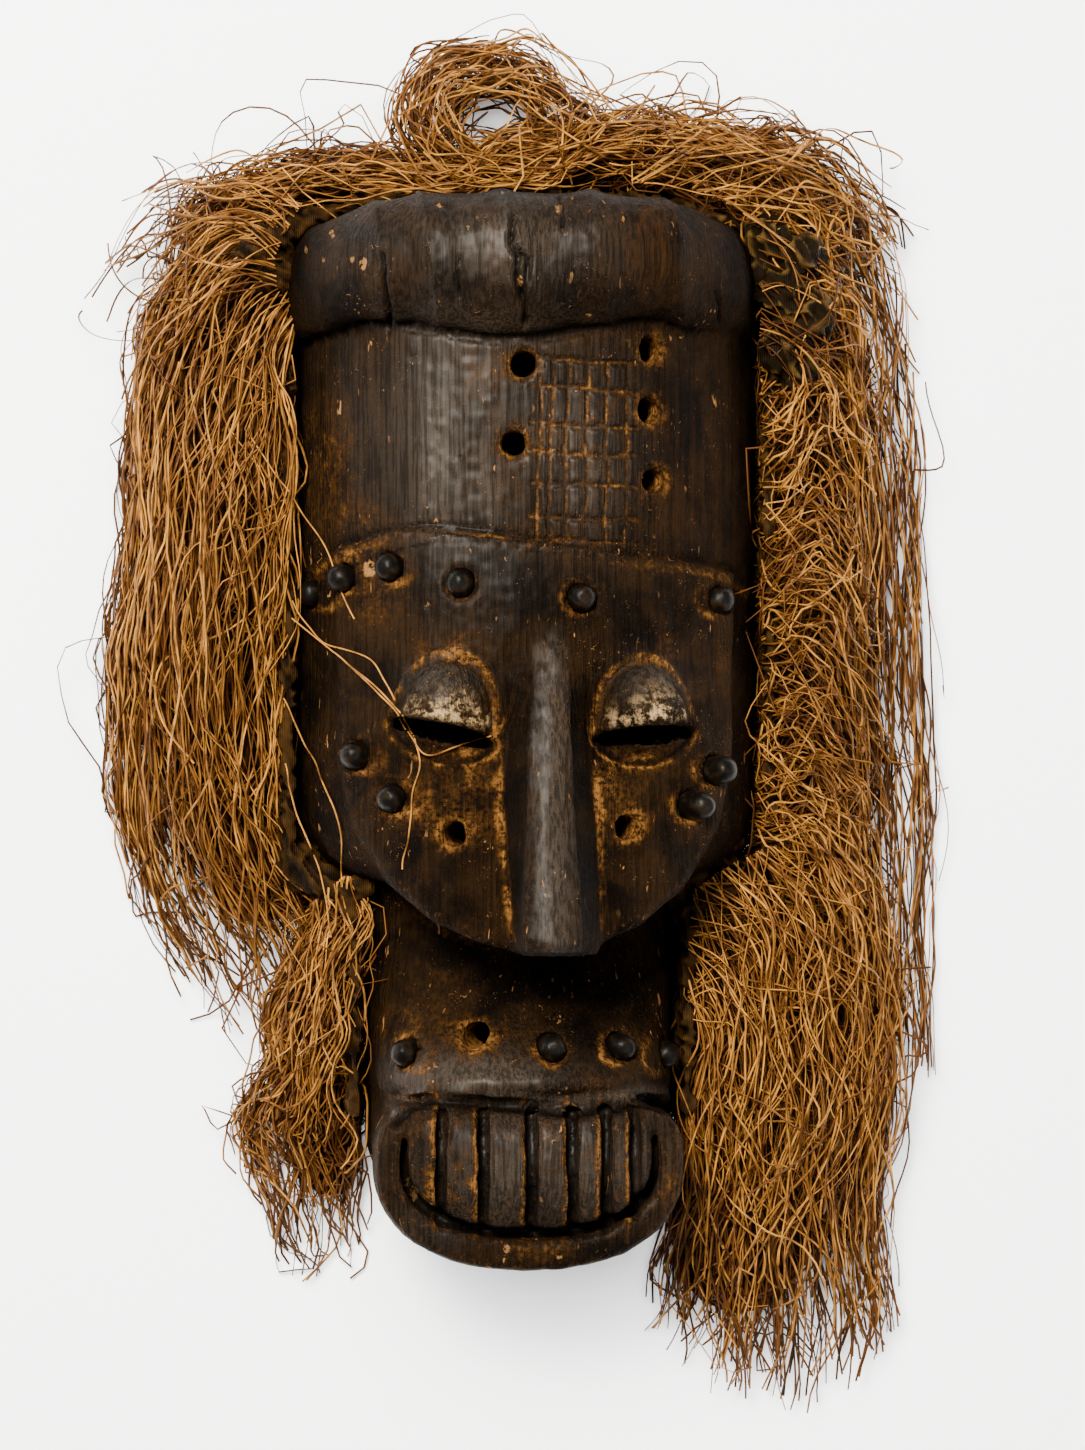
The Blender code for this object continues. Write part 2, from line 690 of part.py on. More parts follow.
def build_mask():
    """The carved shell in one piece of wood, and its pegs."""
    body = head()
    body.name = "mask_body"
    combine(body, "UNION", [rim(), jaw(), shield()])
    combine(body, "DIFFERENCE", [*eye_cutters(), *side_grooves()])
    combine(body, "UNION", [nose(), *lids(), lip()])
    combine(body, "DIFFERENCE", [cavity(), mouth_recess(), *slits()])
    combine(body, "UNION", [teeth()])
    combine(body, "DIFFERENCE", tooth_gaps())
    bpy.context.view_layer.update()
    tree = BVHTree.FromObject(body, bpy.context.evaluated_depsgraph_get())
    studs, bores = pegs_and_bores(tree)
    combine(body, "DIFFERENCE", bores)
    return body, studs


def plan_outline(start_y):
    """The shell's edge seen from the front, from the left of the jaw over the top to the right."""
    rim_low = RIM_MIDDLE - RIM_HALF_HEIGHT
    rim_high = RIM_MIDDLE + RIM_HALF_HEIGHT
    rim_half = HEAD_HALF_WIDTH + RIM_BULGE_SIDE
    neck_half = max(NECK_HALF_WIDTH, JAW_HALF_WIDTH)
    neck = [
        (neck_half, start_y),
        (neck_half, HEAD_BOTTOM - 0.012),
        (neck_half + 0.010, HEAD_BOTTOM - 0.004),
    ]
    face = [
        (HEAD_HALF_WIDTH - 0.008, HEAD_BOTTOM + 0.002),
        (HEAD_HALF_WIDTH, HEAD_BOTTOM + 0.014),
        (HEAD_HALF_WIDTH, rim_low - RIM_WAVE - 0.010),
    ]
    rolled = [(rim_half, rim_low - 0.002), (rim_half, rim_high - RIM_CORNER_DROP - 0.002)]
    steps = 16
    for step in range(1, steps):
        x = rim_half * (1 - step / steps) ** 0.7
        rolled.append((x, rim_high - RIM_CORNER_DROP * (x / HEAD_HALF_WIDTH) ** 4))
    left, right = [], []
    for centre, stretch in ((JAW_SHIFT, neck), (0.0, face), (RIM_SHIFT, rolled)):
        left += [(centre - x, y) for x, y in stretch]
        right += [(centre + x, y) for x, y in stretch]
    return [*left, (RIM_SHIFT, rim_high), *reversed(right)]


def moved_out(outline, distance):
    """The outline pushed out by an even distance, with its corners kept sharp."""
    runs = [(Vector(end) - Vector(start)).normalized() for start, end in zip(outline, outline[1:])]
    normals = [Vector((-run.y, run.x)) for run in runs]
    moved = []
    for index, point in enumerate(outline):
        before = normals[max(0, index - 1)]
        after = normals[min(len(normals) - 1, index)]
        middle = (before + after).normalized()
        out = distance(index) if callable(distance) else distance
        moved.append(tuple(Vector(point) + middle * (out / middle.dot(before))))
    return moved


def finely(outline, spacing):
    """The same line with points about as far apart as the spacing."""
    points = []
    for start, end in zip(outline, outline[1:]):
        pieces = max(1, round(hypot(end[0] - start[0], end[1] - start[1]) / spacing))
        for piece in range(pieces):
            share = piece / pieces
            points.append(tuple(a + (b - a) * share for a, b in zip(start, end)))
    return [*points, outline[-1]]


def build_band():
    """The band, knotted at even steps, that runs round the shell's sides and top."""
    line = finely(plan_outline(BAND_START_Y), BAND_KNOT_SPACING / 2)
    inner = moved_out(line, BAND_GAP)

    def thickness(index):
        return BAND_GAP + BAND_THICKNESS - (BAND_KNOT if index % 2 else 0.0)

    outer = moved_out(line, thickness)
    outline = inner + outer[::-1]
    rings = [[(x, y, z) for x, y in outline] for z in (BAND_LOW_Z, BAND_HIGH_Z)]
    return loft("raffia_band", rings)


def keep_clear():
    """Room for the shell and its band, which the raffia stays out of."""
    chin = [(JAW_HALF_WIDTH * chin_share(y), y) for y in (0.0, 0.003, 0.008, 0.016, 0.028)]
    left = [(JAW_SHIFT - x, y) for x, y in chin]
    right = [(JAW_SHIFT + x, y) for x, y in reversed(chin)]
    around = [*left, *plan_outline(BAND_START_Y - 0.002), *right]
    around = finely(around, BAND_KNOT_SPACING)

    def room(index):
        banded = around[index][1] > BAND_START_Y - 0.0025
        return RAFFIA_GAP + (BAND_GAP + BAND_THICKNESS if banded else 0.002)

    line = moved_out(around, room)
    rings = [[(x, y, z) for x, y in line[:-1]] for z in (-CUTTER_MARGIN, 4 * HEAD_DEPTH)]
    return loft("keep_clear", rings)


def smooth_run(stations, pieces):
    """More stations along the same run, on a smooth curve through those given."""
    points = [stations[0], *stations, stations[-1]]
    run = []
    for a, b, c, d in zip(points, points[1:], points[2:], points[3:]):
        for piece in range(pieces):
            t = piece / pieces
            run.append(
                tuple(
                    0.5 * (2 * q + (r - p) * t + (2 * p - 5 * q + 4 * r - s) * t * t
                           + (3 * q - p - 3 * r + s) * t**3)
                    for p, q, r, s in zip(a, b, c, d)
                )
            )
    return [*run, stations[-1]]


def hank(name, stations, grow=0.0):
    """A hank of raffia lying on the floor: a low mound with a lock along each flute.

    With grow it is the room the hank needs, clear of its locks.
    """
    run = smooth_run(stations, 2)
    last = len(run) - 1
    rings = []
    for index, (x, y, half_width, height) in enumerate(run):
        before, after = run[max(0, index - 1)], run[min(last, index + 1)]
        along = Vector((after[0] - before[0], after[1] - before[1])).normalized()
        across = Vector((along.y, -along.x))
        end = (index == last) - (index == 0)
        x += along.x * grow * end
        y += along.y * grow * end
        ring = []
        for step in range(HANK_STEPS + 1):
            turn = pi * step / HANK_STEPS
            flute = 1.0 if grow else cos(2 * LOCKS * turn + 0.9 * index)
            lock = 1 + LOCK_DEPTH * flute * sin(turn)
            out = (half_width * lock + grow) * cos(turn)
            up = (height * lock + grow) * sin(turn) ** 0.8
            below = 3 * grow if step in (0, HANK_STEPS) else 0.0
            ring.append((x + across.x * out, y + across.y * out, RAFFIA_FLOOR + up - below))
        rings.append(ring)
    return loft(name, rings)


def knot(name):
    """The loop of raffia that stands over the crown, wound as a fat oval ring."""
    points, faces = [], []
    middle = RIM_MIDDLE + RIM_HALF_HEIGHT + KNOT_ABOVE_RIM
    sides = 10
    for step in range(KNOT_STEPS):
        turn = 2 * pi * step / KNOT_STEPS
        lock = 1 + LOCK_DEPTH * cos(6 * turn)
        for side in range(sides):
            tip = 2 * pi * side / sides
            out = KNOT_ROPE_RADIUS * lock * cos(tip)
            up = KNOT_ROPE_RADIUS * (1 + sin(tip)) + RAFFIA_FLOOR
            x = KNOT_X + (KNOT_RING_HALF_WIDTH + out) * cos(turn)
            points.append((x, middle + (KNOT_RING_HALF_HEIGHT + out) * sin(turn), up))
    for step in range(KNOT_STEPS):
        ahead = (step + 1) % KNOT_STEPS
        for side in range(sides):
            after = (side + 1) % sides
            corners = (step * sides + side, ahead * sides + side, ahead * sides + after, step * sides + after)
            faces.append(corners)
    return solid(name, points, faces)


def build_raffia():
    """The hanks, each cut back from the shell's band and from the hanks beside it."""
    edge = HEAD_HALF_WIDTH
    rim_top = RIM_MIDDLE + RIM_HALF_HEIGHT
    left_run = [(-edge - out, y, w, h) for out, y, w, h in RAFFIA_LEFT]
    lower_run = [(JAW_SHIFT - NECK_HALF_WIDTH - out, y, w, h) for out, y, w, h in RAFFIA_LEFT_LOWER]
    right_run = [(edge + out, y, w, h) for out, y, w, h in RAFFIA_RIGHT]
    crown_run = [(x, rim_top + up, w, h) for x, up, w, h in RAFFIA_CROWN]
    left = hank("raffia_left", left_run)
    left_lower = hank("raffia_left_lower", lower_run)
    right = hank("raffia_right", right_run)
    crown = hank("raffia_crown", crown_run)
    loop = knot("raffia_knot")
    for piece in (left, right):
        combine(piece, "DIFFERENCE", [keep_clear()])
    combine(left_lower, "DIFFERENCE", [keep_clear(), hank("room", left_run, RAFFIA_GAP)])
    beside = [hank("room", left_run, RAFFIA_GAP), hank("room", right_run, RAFFIA_GAP)]
    combine(crown, "DIFFERENCE", [keep_clear(), *beside])
    combine(loop, "DIFFERENCE", [keep_clear(), hank("room", crown_run, RAFFIA_GAP)])
    return [left, left_lower, right, crown, loop]


def centre_on_base(pieces):
    """Moves the work so that the middle of its box's underside is at the origin."""
    bpy.context.view_layer.update()
    graph = bpy.context.evaluated_depsgraph_get()
    corners = []
    for piece in pieces:
        evaluated = piece.evaluated_get(graph)
        mesh = evaluated.to_mesh()
        corners += [evaluated.matrix_world @ vertex.co for vertex in mesh.vertices]
        evaluated.to_mesh_clear()
    low = Vector(min(corner[axis] for corner in corners) for axis in range(3))
    high = Vector(max(corner[axis] for corner in corners) for axis in range(3))
    shift = Vector((-(low.x + high.x) / 2, -(low.y + high.y) / 2, -low.z))
    for thing in bpy.context.scene.collection.all_objects:
        thing.location += shift


def main():
    for old in list(bpy.data.objects):
        bpy.data.objects.remove(old)
    body, studs = build_mask()
    band = build_band()
    raffia = build_raffia()
    wood = material("dark_wood", (0.035, 0.024, 0.017), 0.42)
    peg_wood = material("peg_wood", (0.030, 0.023, 0.019), 0.36)
    cord = material("band_fibre", (0.20, 0.115, 0.035), 0.85)
    fibre = material("raffia", (0.42, 0.22, 0.07), 0.7)
    coats = [(body, wood), (band, cord)]
    coats += [(stud, peg_wood) for stud in studs]
    coats += [(piece, fibre) for piece in raffia]
    for piece, coat in coats:
        piece.data.materials.append(coat)
    for stud in studs:
        stud.data.shade_smooth()
    centre_on_base([piece for piece, coat in coats])


main()
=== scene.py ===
from math import cos, pi, radians, sin

import bmesh
import bpy
import numpy as np
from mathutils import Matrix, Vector
from mathutils.bvhtree import BVHTree


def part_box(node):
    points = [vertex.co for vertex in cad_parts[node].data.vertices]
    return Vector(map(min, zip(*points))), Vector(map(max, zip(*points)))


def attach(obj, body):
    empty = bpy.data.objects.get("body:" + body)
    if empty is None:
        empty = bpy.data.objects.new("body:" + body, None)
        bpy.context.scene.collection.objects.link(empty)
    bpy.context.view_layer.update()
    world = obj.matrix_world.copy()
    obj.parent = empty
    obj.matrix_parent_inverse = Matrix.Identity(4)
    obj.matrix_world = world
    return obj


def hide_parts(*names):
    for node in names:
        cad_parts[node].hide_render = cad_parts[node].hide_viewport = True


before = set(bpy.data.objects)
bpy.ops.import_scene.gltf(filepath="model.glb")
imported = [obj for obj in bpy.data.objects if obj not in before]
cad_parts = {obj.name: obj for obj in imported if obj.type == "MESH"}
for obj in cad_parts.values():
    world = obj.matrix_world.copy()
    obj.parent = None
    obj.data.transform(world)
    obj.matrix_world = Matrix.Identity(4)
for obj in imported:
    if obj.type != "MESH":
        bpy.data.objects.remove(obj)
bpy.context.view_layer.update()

# The carved shell: forehead, rolled rim, face, jaw, lip and teeth from one block of a light wood,
# blackened and handled. It is cut with an adze and a knife, so its flats carry shallow scoops,
# its edges are worn soft and a reddish earth still sits in its hollows and round its pegs.
# Its colour also carries painted shade in its grooves, slits, cracks and undercuts, and a
# painted sheen where it is handled.
WOOD_HALF_WIDTH = 0.103
shell_low, shell_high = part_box("mask_body")
CHIN = Vector((shell_low.x + WOOD_HALF_WIDTH, shell_low.y, 0.0))
SHELL_VOXEL = 0.00095
SHELL_TRIANGLES = 190000


def plain_mesh(piece):
    """The mesh of a piece as its modifiers leave it."""
    graph = bpy.context.evaluated_depsgraph_get()
    return bpy.data.meshes.new_from_object(piece.evaluated_get(graph))


def add_piece(name, mesh):
    piece = bpy.data.objects.new(name, mesh)
    bpy.context.scene.collection.objects.link(piece)
    return piece


def with_modifier(piece, kind, **values):
    """Puts one modifier on the piece and leaves its result as the piece's plain mesh."""
    modifier = piece.modifiers.new(kind.title(), kind)
    for key, value in values.items():
        setattr(modifier, key, value)
    old = piece.data
    done = plain_mesh(piece)
    piece.modifiers.clear()
    piece.data = done
    bpy.data.meshes.remove(old)
    return piece


def refined(name, nodes, voxel, lumps=()):
    """One closed, finely meshed copy of CAD nodes and round lumps, as stock for the finish.

    A lump is ((x, y, z), (half width, half length, half height)), in mm from the chin.
    """
    copies = [add_piece("part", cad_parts[node].data.copy()) for node in nodes]
    points, faces = [], []
    for copy in copies:
        with_modifier(copy, "WELD", merge_threshold=0.00002)
        first = len(points)
        points += [v.co.copy() for v in copy.data.vertices]
        faces += [[first + i for i in p.vertices] for p in copy.data.polygons]
        bpy.data.objects.remove(copy)
    for (px, py, pz), (wide, deep, high) in lumps:
        first = len(points)
        ball = bmesh.new()
        bmesh.ops.create_icosphere(ball, subdivisions=3, radius=0.001)
        points += [CHIN + Vector((px / 1000 + v.co.x * wide, py / 1000 + v.co.y * deep,
                                  pz / 1000 + v.co.z * high)) for v in ball.verts]
        faces += [[first + v.index for v in face.verts] for face in ball.faces]
        ball.free()
    mesh = bpy.data.meshes.new(name)
    mesh.from_pydata(points, [], faces)
    piece = add_piece(name, mesh)
    return with_modifier(piece, "REMESH", mode="VOXEL", voxel_size=voxel, adaptivity=0.0)


def points_of(mesh):
    flat = np.empty(len(mesh.vertices) * 3, dtype=np.float32)
    mesh.vertices.foreach_get("co", flat)
    return flat.reshape(-1, 3).astype(np.float64)


def set_points(mesh, points):
    mesh.vertices.foreach_set("co", points.astype(np.float32).ravel())
    mesh.update()


def normals_of(mesh):
    flat = np.empty(len(mesh.vertices) * 3, dtype=np.float32)
    mesh.vertex_normals.foreach_get("vector", flat)
    return flat.reshape(-1, 3).astype(np.float64)


def edges_of(mesh):
    flat = np.empty(len(mesh.edges) * 2, dtype=np.int32)
    mesh.edges.foreach_get("vertices", flat)
    return flat.reshape(-1, 2)


def averaged(values, edges, weights, rounds, share=0.5):
    """Moves each vertex's values towards the mean of its neighbours', a number of rounds."""
    a, b = edges[:, 0], edges[:, 1]
    count = len(values)
    total = np.bincount(a, weights, count) + np.bincount(b, weights, count) + 1e-9
    result = values.copy()
    for _ in range(rounds):
        for axis in range(values.shape[1]):
            column = result[:, axis]
            pull = np.bincount(a, weights * column[b], count) + np.bincount(b, weights * column[a], count)
            result[:, axis] = column + share * (pull / total - column) * np.minimum(1, total)
    return result


def worn(mesh, spread, rounds, last):
    """Softens the flats of the stock, keeps its cut edges, then wears those by a hair."""
    edges = edges_of(mesh)
    points = points_of(mesh)
    for _ in range(4):
        set_points(mesh, points)
        normals = normals_of(mesh)
        turn = np.linalg.norm(normals[edges[:, 0]] - normals[edges[:, 1]], axis=1)
        weights = np.exp(-((turn / spread) ** 2))
        points = averaged(points, edges, weights, rounds // 4)
    points = averaged(points, edges, np.ones(len(edges)), last)
    set_points(mesh, points)


def speckle(points, size, seed):
    """A smooth random value, 0 to 1, that changes over about the given size."""
    cell = points / np.asarray(size)
    base = np.floor(cell).astype(np.int64)
    part = cell - base
    part = part * part * (3 - 2 * part)
    total = np.zeros(len(points))
    for corner in range(8):
        step = np.array([corner & 1, corner >> 1 & 1, corner >> 2 & 1])
        at = base + step
        code = (at[:, 0] * 73856093) ^ (at[:, 1] * 19349663) ^ (at[:, 2] * 83492791) ^ (seed * 2654435761)
        code = (code ^ (code >> 13)) * 1274126177 & 0x7FFFFFFF
        code = (code ^ (code >> 16)) * 668265263 & 0x7FFFFFFF
        value = (code % 65536) / 65535.0
        share = np.prod(np.where(step == 1, part, 1 - part), axis=1)
        total += value * share
    return total


def scoops(across, along, width, length, seed):
    """Overlapping adze strokes: squared distance to the nearest stroke's middle, 0 to about 1."""
    u, v = across / width, along / length
    iu, iv = np.floor(u).astype(np.int64), np.floor(v).astype(np.int64)
    best = np.full(len(u), 9.0)
    for du in (-1, 0, 1):
        for dv in (-1, 0, 1):
            cu, cv = iu + du, iv + dv
            code = (cu * 92837111) ^ (cv * 689287499) ^ (seed * 283923481)
            code = (code ^ (code >> 15)) * 1103515245 & 0x7FFFFFFF
            ju = (code % 1024) / 1023.0
            jv = (code // 1024 % 1024) / 1023.0
            gap = (u - cu - 0.2 - 0.6 * ju) ** 2 + (v - cv - 0.1 - 0.8 * jv) ** 2
            best = np.minimum(best, gap)
    return np.minimum(best, 1.2)


def rising(values, low, high):
    t = np.clip((values - low) / (high - low), 0, 1)
    return t * t * (3 - 2 * t)


def keep_values(mesh, name, values):
    layer = mesh.attributes.new(name, "FLOAT", "POINT")
    layer.data.foreach_set("value", np.clip(values, 0, 1).astype(np.float32))


def soft_spots(spots):
    """The strongest of a few soft ovals, each (x, y, half width, half height, strength), in mm."""
    most = np.zeros(len(x))
    for px, py, wide, high, strength in spots:
        away = ((x - px) / wide) ** 2 + ((y - py) / high) ** 2
        most = np.maximum(most, strength * np.exp(-away))
    return most


def gap_to(route):
    """How far each point lies in plan from a route of straight runs."""
    least = np.full(len(x), 1e3)
    for (ax, ay), (bx, by) in zip(route, route[1:]):
        rx, ry = bx - ax, by - ay
        share = np.clip(((x - ax) * rx + (y - ay) * ry) / (rx * rx + ry * ry), 0, 1)
        least = np.minimum(least, np.hypot(x - ax - share * rx, y - ay - share * ry))
    return least


pegs = sorted(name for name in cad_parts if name.startswith("stud_"))
shell = refined("carved_shell", ["mask_body"], SHELL_VOXEL)
worn(shell.data, 0.15, 40, 1)
stock = points_of(shell.data)
links = edges_of(shell.data)
out = normals_of(shell.data)
here = (stock - np.array(CHIN)) * 1000
x, y, z = here.T

broad = averaged(stock, links, np.ones(len(links)), 36)
dip = np.einsum("ij,ij->i", broad - stock, out) * 1000
front = rising(z, 20, 34) * rising(out[:, 2], -0.2, 0.15)

BROW_LINE = ((-90, 277), (-80, 283), (-64, 288.5), (-43, 291.6), (-20, 289), (8, 284), (40, 280), (62, 278),
             (79, 275), (88, 268))
# The forehead's net of small squares, cut with a knife: the lines' places across and up, in mm.
NET_COLUMNS = (0.2, 5.0, 11.3, 19.1, 27.3, 35.0)
NET_ROWS = (358.2, 347.2, 332.9, 321.6, 309.4, 296.6, 287.0)
NET_LEFT, NET_RIGHT, NET_TOP, NET_BOTTOM = -3.0, 38.5, 368.0, 287.0
NET_DEPTH = 1.15
NET_HALF_WIDTH = 1.1
# The nose's flat ridge and its foot: their left and right edges at a few heights, in mm.
NOSE_HEIGHTS = (126, 147, 170, 192, 211, 232)
RIDGE_LEFT = (-7.5, -8.4, -6.6, -5.6, -5.4, -3.0)
RIDGE_RIGHT = (13.5, 13.6, 12.2, 11.2, 10.6, 10.6)
FOOT_LEFT = (-11, -13, -15.2, -16.4, -17.3, -10)
FOOT_RIGHT = (23.2, 23.4, 23, 21.6, 19.7, 16)
# The eyes: the middle of each slit, the lid's half width and height, and its lean in degrees.
EYES = ((-37.5, 215.0, 20.5, 29.0, -12), (41.2, 214.0, 19.5, 28.0, 5))
# The tooth grooves across, and the jaw's sharp shelf over the lip.
TOOTH_GROOVES = (-38.6, -21.9, -3.0, 13.1, 26.4, 37.7)
SHELF_LINE = ((-56, 63), (-50, 69), (-42, 72.2), (-12, 70.2), (12, 67.4), (44, 70.2), (54, 68), (60, 60))
# The rim's drying cracks, and how wide and deep each is, in mm.
CRACKS = (
    (((-11, 412), (-12, 402), (-9.5, 397), (-10, 388), (-6.5, 379), (-6, 371)), 1.1, 4.5),
    (((-8.5, 399), (-5.5, 396), (-6, 388), (-8, 382)), 1.4, 2.6),
    (((-61, 399), (-61, 388), (-58, 376), (-59, 369)), 0.8, 2.6),
    (((-32, 397), (-33, 388), (-32, 381)), 0.6, 1.8),
    (((7, 423), (9, 414), (8, 409)), 0.9, 2.0),
    (((71, 386), (74, 380), (73, 375)), 0.8, 1.6),
    (((-78, 276), (-60, 283), (-40, 287), (-20, 287), (0, 283)), 0.5, 0.3),
)
# The rim's broad adze flats: where each begins across, in mm.
RIM_FLATS = (-112, -86, -60.5, -43, -9.5, 24, 55, 82, 110)
# Small chips that show pale wood or old clay, as (x, y, half width, half height, strength).
CHIPS = (
    (-69.6, 395.6, 1.5, 2.6, 1.1), (-73.6, 398, 1.0, 1.8, 0.9), (-90.6, 404, 0.9, 2.4, 0.8),
    (-81, 409, 1, 2.0, 0.9), (-84, 399, 0.8, 1.8, 0.7), (-52.6, 405, 0.9, 1.6, 0.7),
    (-39.7, 418, 1.8, 1.0, 0.8), (-25, 413, 0.8, 1.6, 0.7), (7, 418, 1.2, 3.2, 1.1),
    (-8.6, 387, 1.2, 3.0, 0.9), (32.4, 413, 1.0, 1.8, 0.8), (19, 375, 1.6, 0.8, 0.7),
    (-66.3, 276.8, 2.4, 3.4, 1.2), (-44, 262.3, 1.1, 1.1, 1.2), (14.5, 345.8, 0.8, 0.8, 1.0),
    (5.8, 323, 0.9, 0.9, 0.9), (19, 336.8, 0.7, 0.7, 0.8), (-12.2, 9.9, 1.2, 2.0, 1.2),
    (8.2, 6, 1.6, 1.0, 1.1), (-48.3, 31, 1.4, 3.4, 1.1), (-51, 35, 1.0, 2.0, 0.9),
    (6, 107, 2.4, 2.4, 0.35), (-40, 22, 1.0, 1.6, 0.6), (38, 22, 0.9, 1.8, 0.6),
)
# Where the earth still lies thick, as (x, y, half width, half height, strength).
EARTH = (
    (-82, 320, 15, 34, 0.75), (-76, 300, 20, 14, 0.7), (-14, 300, 16, 26, 0.5), (-22, 353, 14, 10, 0.7),
    (3, 330, 10, 26, 0.45), (20, 330, 22, 44, 0.45), (48, 300, 16, 20, 0.3), (-70, 276, 16, 8, 0.8),
    (-60, 262, 22, 12, 0.6), (-38, 246, 20, 8, 0.7), (50, 245, 16, 8, 0.5), (76, 240, 8, 22, 0.5),
    (-44, 186, 22, 18, 0.75), (-24, 195, 10, 30, 0.9), (-58, 200, 16, 12, 0.5), (32, 188, 16, 20, 0.8),
    (48, 200, 18, 14, 0.5), (60, 176, 12, 12, 0.5), (-34, 110, 26, 20, 0.4), (-26, 92, 22, 12, 0.8),
    (-52, 92, 12, 14, 0.8), (36, 94, 22, 12, 0.45), (-48, 66, 12, 16, 0.5), (54, 40, 8, 18, 0.6),
    (2, 9, 14, 5, 1.0), (-38, 34, 14, 10, 0.5), (8, 225, 8, 24, 0.45), (66, 398, 24, 20, 0.3),
    (-58, 395, 20, 14, 0.35),
)
# Where the black is rubbed glossier and painted a lighter grey as a painted sheen, to a dull shine, as (x,
# y, half width, half height, strength).
GLOSS_AND_SHEEN_SPOTS = (
    (-34, 330, 34, 56, 1.0), (-2, 330, 20, 44, 0.7), (-36, 233, 15, 9, 0.9), (42, 233, 13, 9, 0.8),
    (-10, 402, 36, 17, 1.0), (-62, 398, 18, 16, 0.5), (-24, 78, 32, 9, 1.2), (2, 42, 46, 22, 1.1),
    (-44, 18, 18, 14, 0.5), (18, 325, 20, 38, 0.8),
)
# Painted shade: soft patches painted near black, under the rim, the brow, the nose and the jaw, along the
# rim's top and at its ends.
PAINTED_SHADE_SPOTS = (
    (84, 400, 26, 34, 0.8), (-98, 392, 22, 30, 0.7), (0, 426, 130, 8, 0.8), (84, 330, 16, 60, 0.35),
    (-4, 262, 62, 13, 0.45), (-5, 382, 90, 9, 0.45), (0, 112, 60, 16, 0.4), (0, 12, 60, 12, 0.4),
)
# Bare worn wood, streaked along the grain.
BARE = ((44, 405, 22, 22, 0.8), (70, 398, 14, 22, 0.6), (-20, 404, 8, 12, 0.5), (66, 315, 18, 50, 0.4))
# What is left of the white clay on the eyelids.
CLAY = (
    (-38, 219, 12, 7, 1.1), (-27, 217, 12, 5, 0.9), (-49, 217, 9, 5, 0.8), (-18, 216, 6, 3.5, 0.6),
    (46, 219, 9, 8, 1.1), (36, 216, 12, 5, 0.8), (55, 220, 5, 7, 0.8),
)

cut = np.zeros(len(stock))
# deep is painted shade: how far each point is painted near black in grooves, slits, cracks and undercuts.
deep = np.zeros(len(stock))
jitter = speckle(here, (9, 9, 9), 2) - 0.5
fine_jitter = speckle(here, (3, 3, 3), 4) - 0.5
patchy = speckle(here, (4, 6, 4), 8)
forehead = rising(y, 291, 300) * (1 - rising(y, 362, 372)) * front
on_rim = rising(y, 366, 374) * front
around = x + 0.6 * (z - 50) * np.sign(x)
cut += 0.42 * (scoops(around, y, 3.4, 42, 3) - 0.3) * forehead
slanted = x + 0.14 * (y - 397) + 3 * jitter
for left_end, right_end in zip(RIM_FLATS, RIM_FLATS[1:]):
    half = (right_end - left_end) / 2
    on_flat = np.abs(slanted - left_end - half) <= half
    cut += np.where(on_flat, 0.15 * half * (((slanted - left_end - half) / half) ** 2 - 0.4), 0) * on_rim
cut += 0.9 * (scoops(around, y, 8, 15, 6) - 0.35) * on_rim
face = (1 - rising(y, 283, 292)) * rising(y, 125, 135) * front
cut += 0.6 * (scoops(x, y, 9, 15, 7) - 0.35) * face
jaw_front = (1 - rising(y, 118, 126)) * front
cut += 0.7 * (scoops(x, y, 11, 15, 9) - 0.35) * jaw_front
cut += 0.9 * (speckle(here, (9, 26, 9), 11) - 0.5) * front
cut += 0.5 * fine_jitter * front

crease = rising(dip, 0.30, 1.4) * front
under_rim = crease * rising(y, 355, 362) * (1 - rising(y, 380, 386))
cut -= 2.4 * under_rim
# Painted shade: the crease under the rim is painted near black.
deep = np.maximum(deep, under_rim)
cut -= 0.7 * crease * (1 - rising(y, 70, 80)) * rising(y, 10, 14)
to_brow = gap_to(BROW_LINE)
over_brow = y - np.interp(x, [p[0] for p in BROW_LINE], [p[1] for p in BROW_LINE])
cut += 1.3 * np.exp(-((to_brow / 1.0) ** 2)) * front
across_face = rising(x, -92, -84) * (1 - rising(x, 84, 92)) * front
cut -= 1.0 * np.exp(-(((over_brow - 2.6) / 1.2) ** 2)) * across_face
# Painted shade: a dark line in the groove just above the brow's ledge.
deep = np.maximum(deep, 0.6 * np.exp(-(((over_brow - 2.4) / 1.0) ** 2)) * across_face)

ridge_left = np.interp(y, NOSE_HEIGHTS, RIDGE_LEFT)
ridge_right = np.interp(y, NOSE_HEIGHTS, RIDGE_RIGHT)
foot_left = np.interp(y, NOSE_HEIGHTS, FOOT_LEFT)
foot_right = np.interp(y, NOSE_HEIGHTS, FOOT_RIGHT)
on_nose = rising(y, 125, 130) * (1 - rising(y, 218, 238)) * front
ridge = rising(x, ridge_left - 0.8, ridge_left + 0.8)
ridge *= 1 - rising(x, ridge_right - 0.8, ridge_right + 0.8)
ridge *= rising(y, 125, 130) * (1 - rising(y, 226, 262)) * front
to_ridge = np.minimum(np.abs(x - ridge_left), np.abs(x - ridge_right))
cut += 1.0 * np.exp(-((to_ridge / 1.3) ** 2)) * on_nose
cut += 0.4 * (scoops(x, y, 2.6, 30, 12) - 0.3) * ridge
flank = rising(x, foot_left, foot_left + 2) * (1 - rising(x, foot_right - 2, foot_right))
flank *= on_nose * (1 - ridge)
cut -= 0.8 * flank
# Painted shade: the nose's flanks are painted darker.
deep = np.maximum(deep, 0.55 * flank)

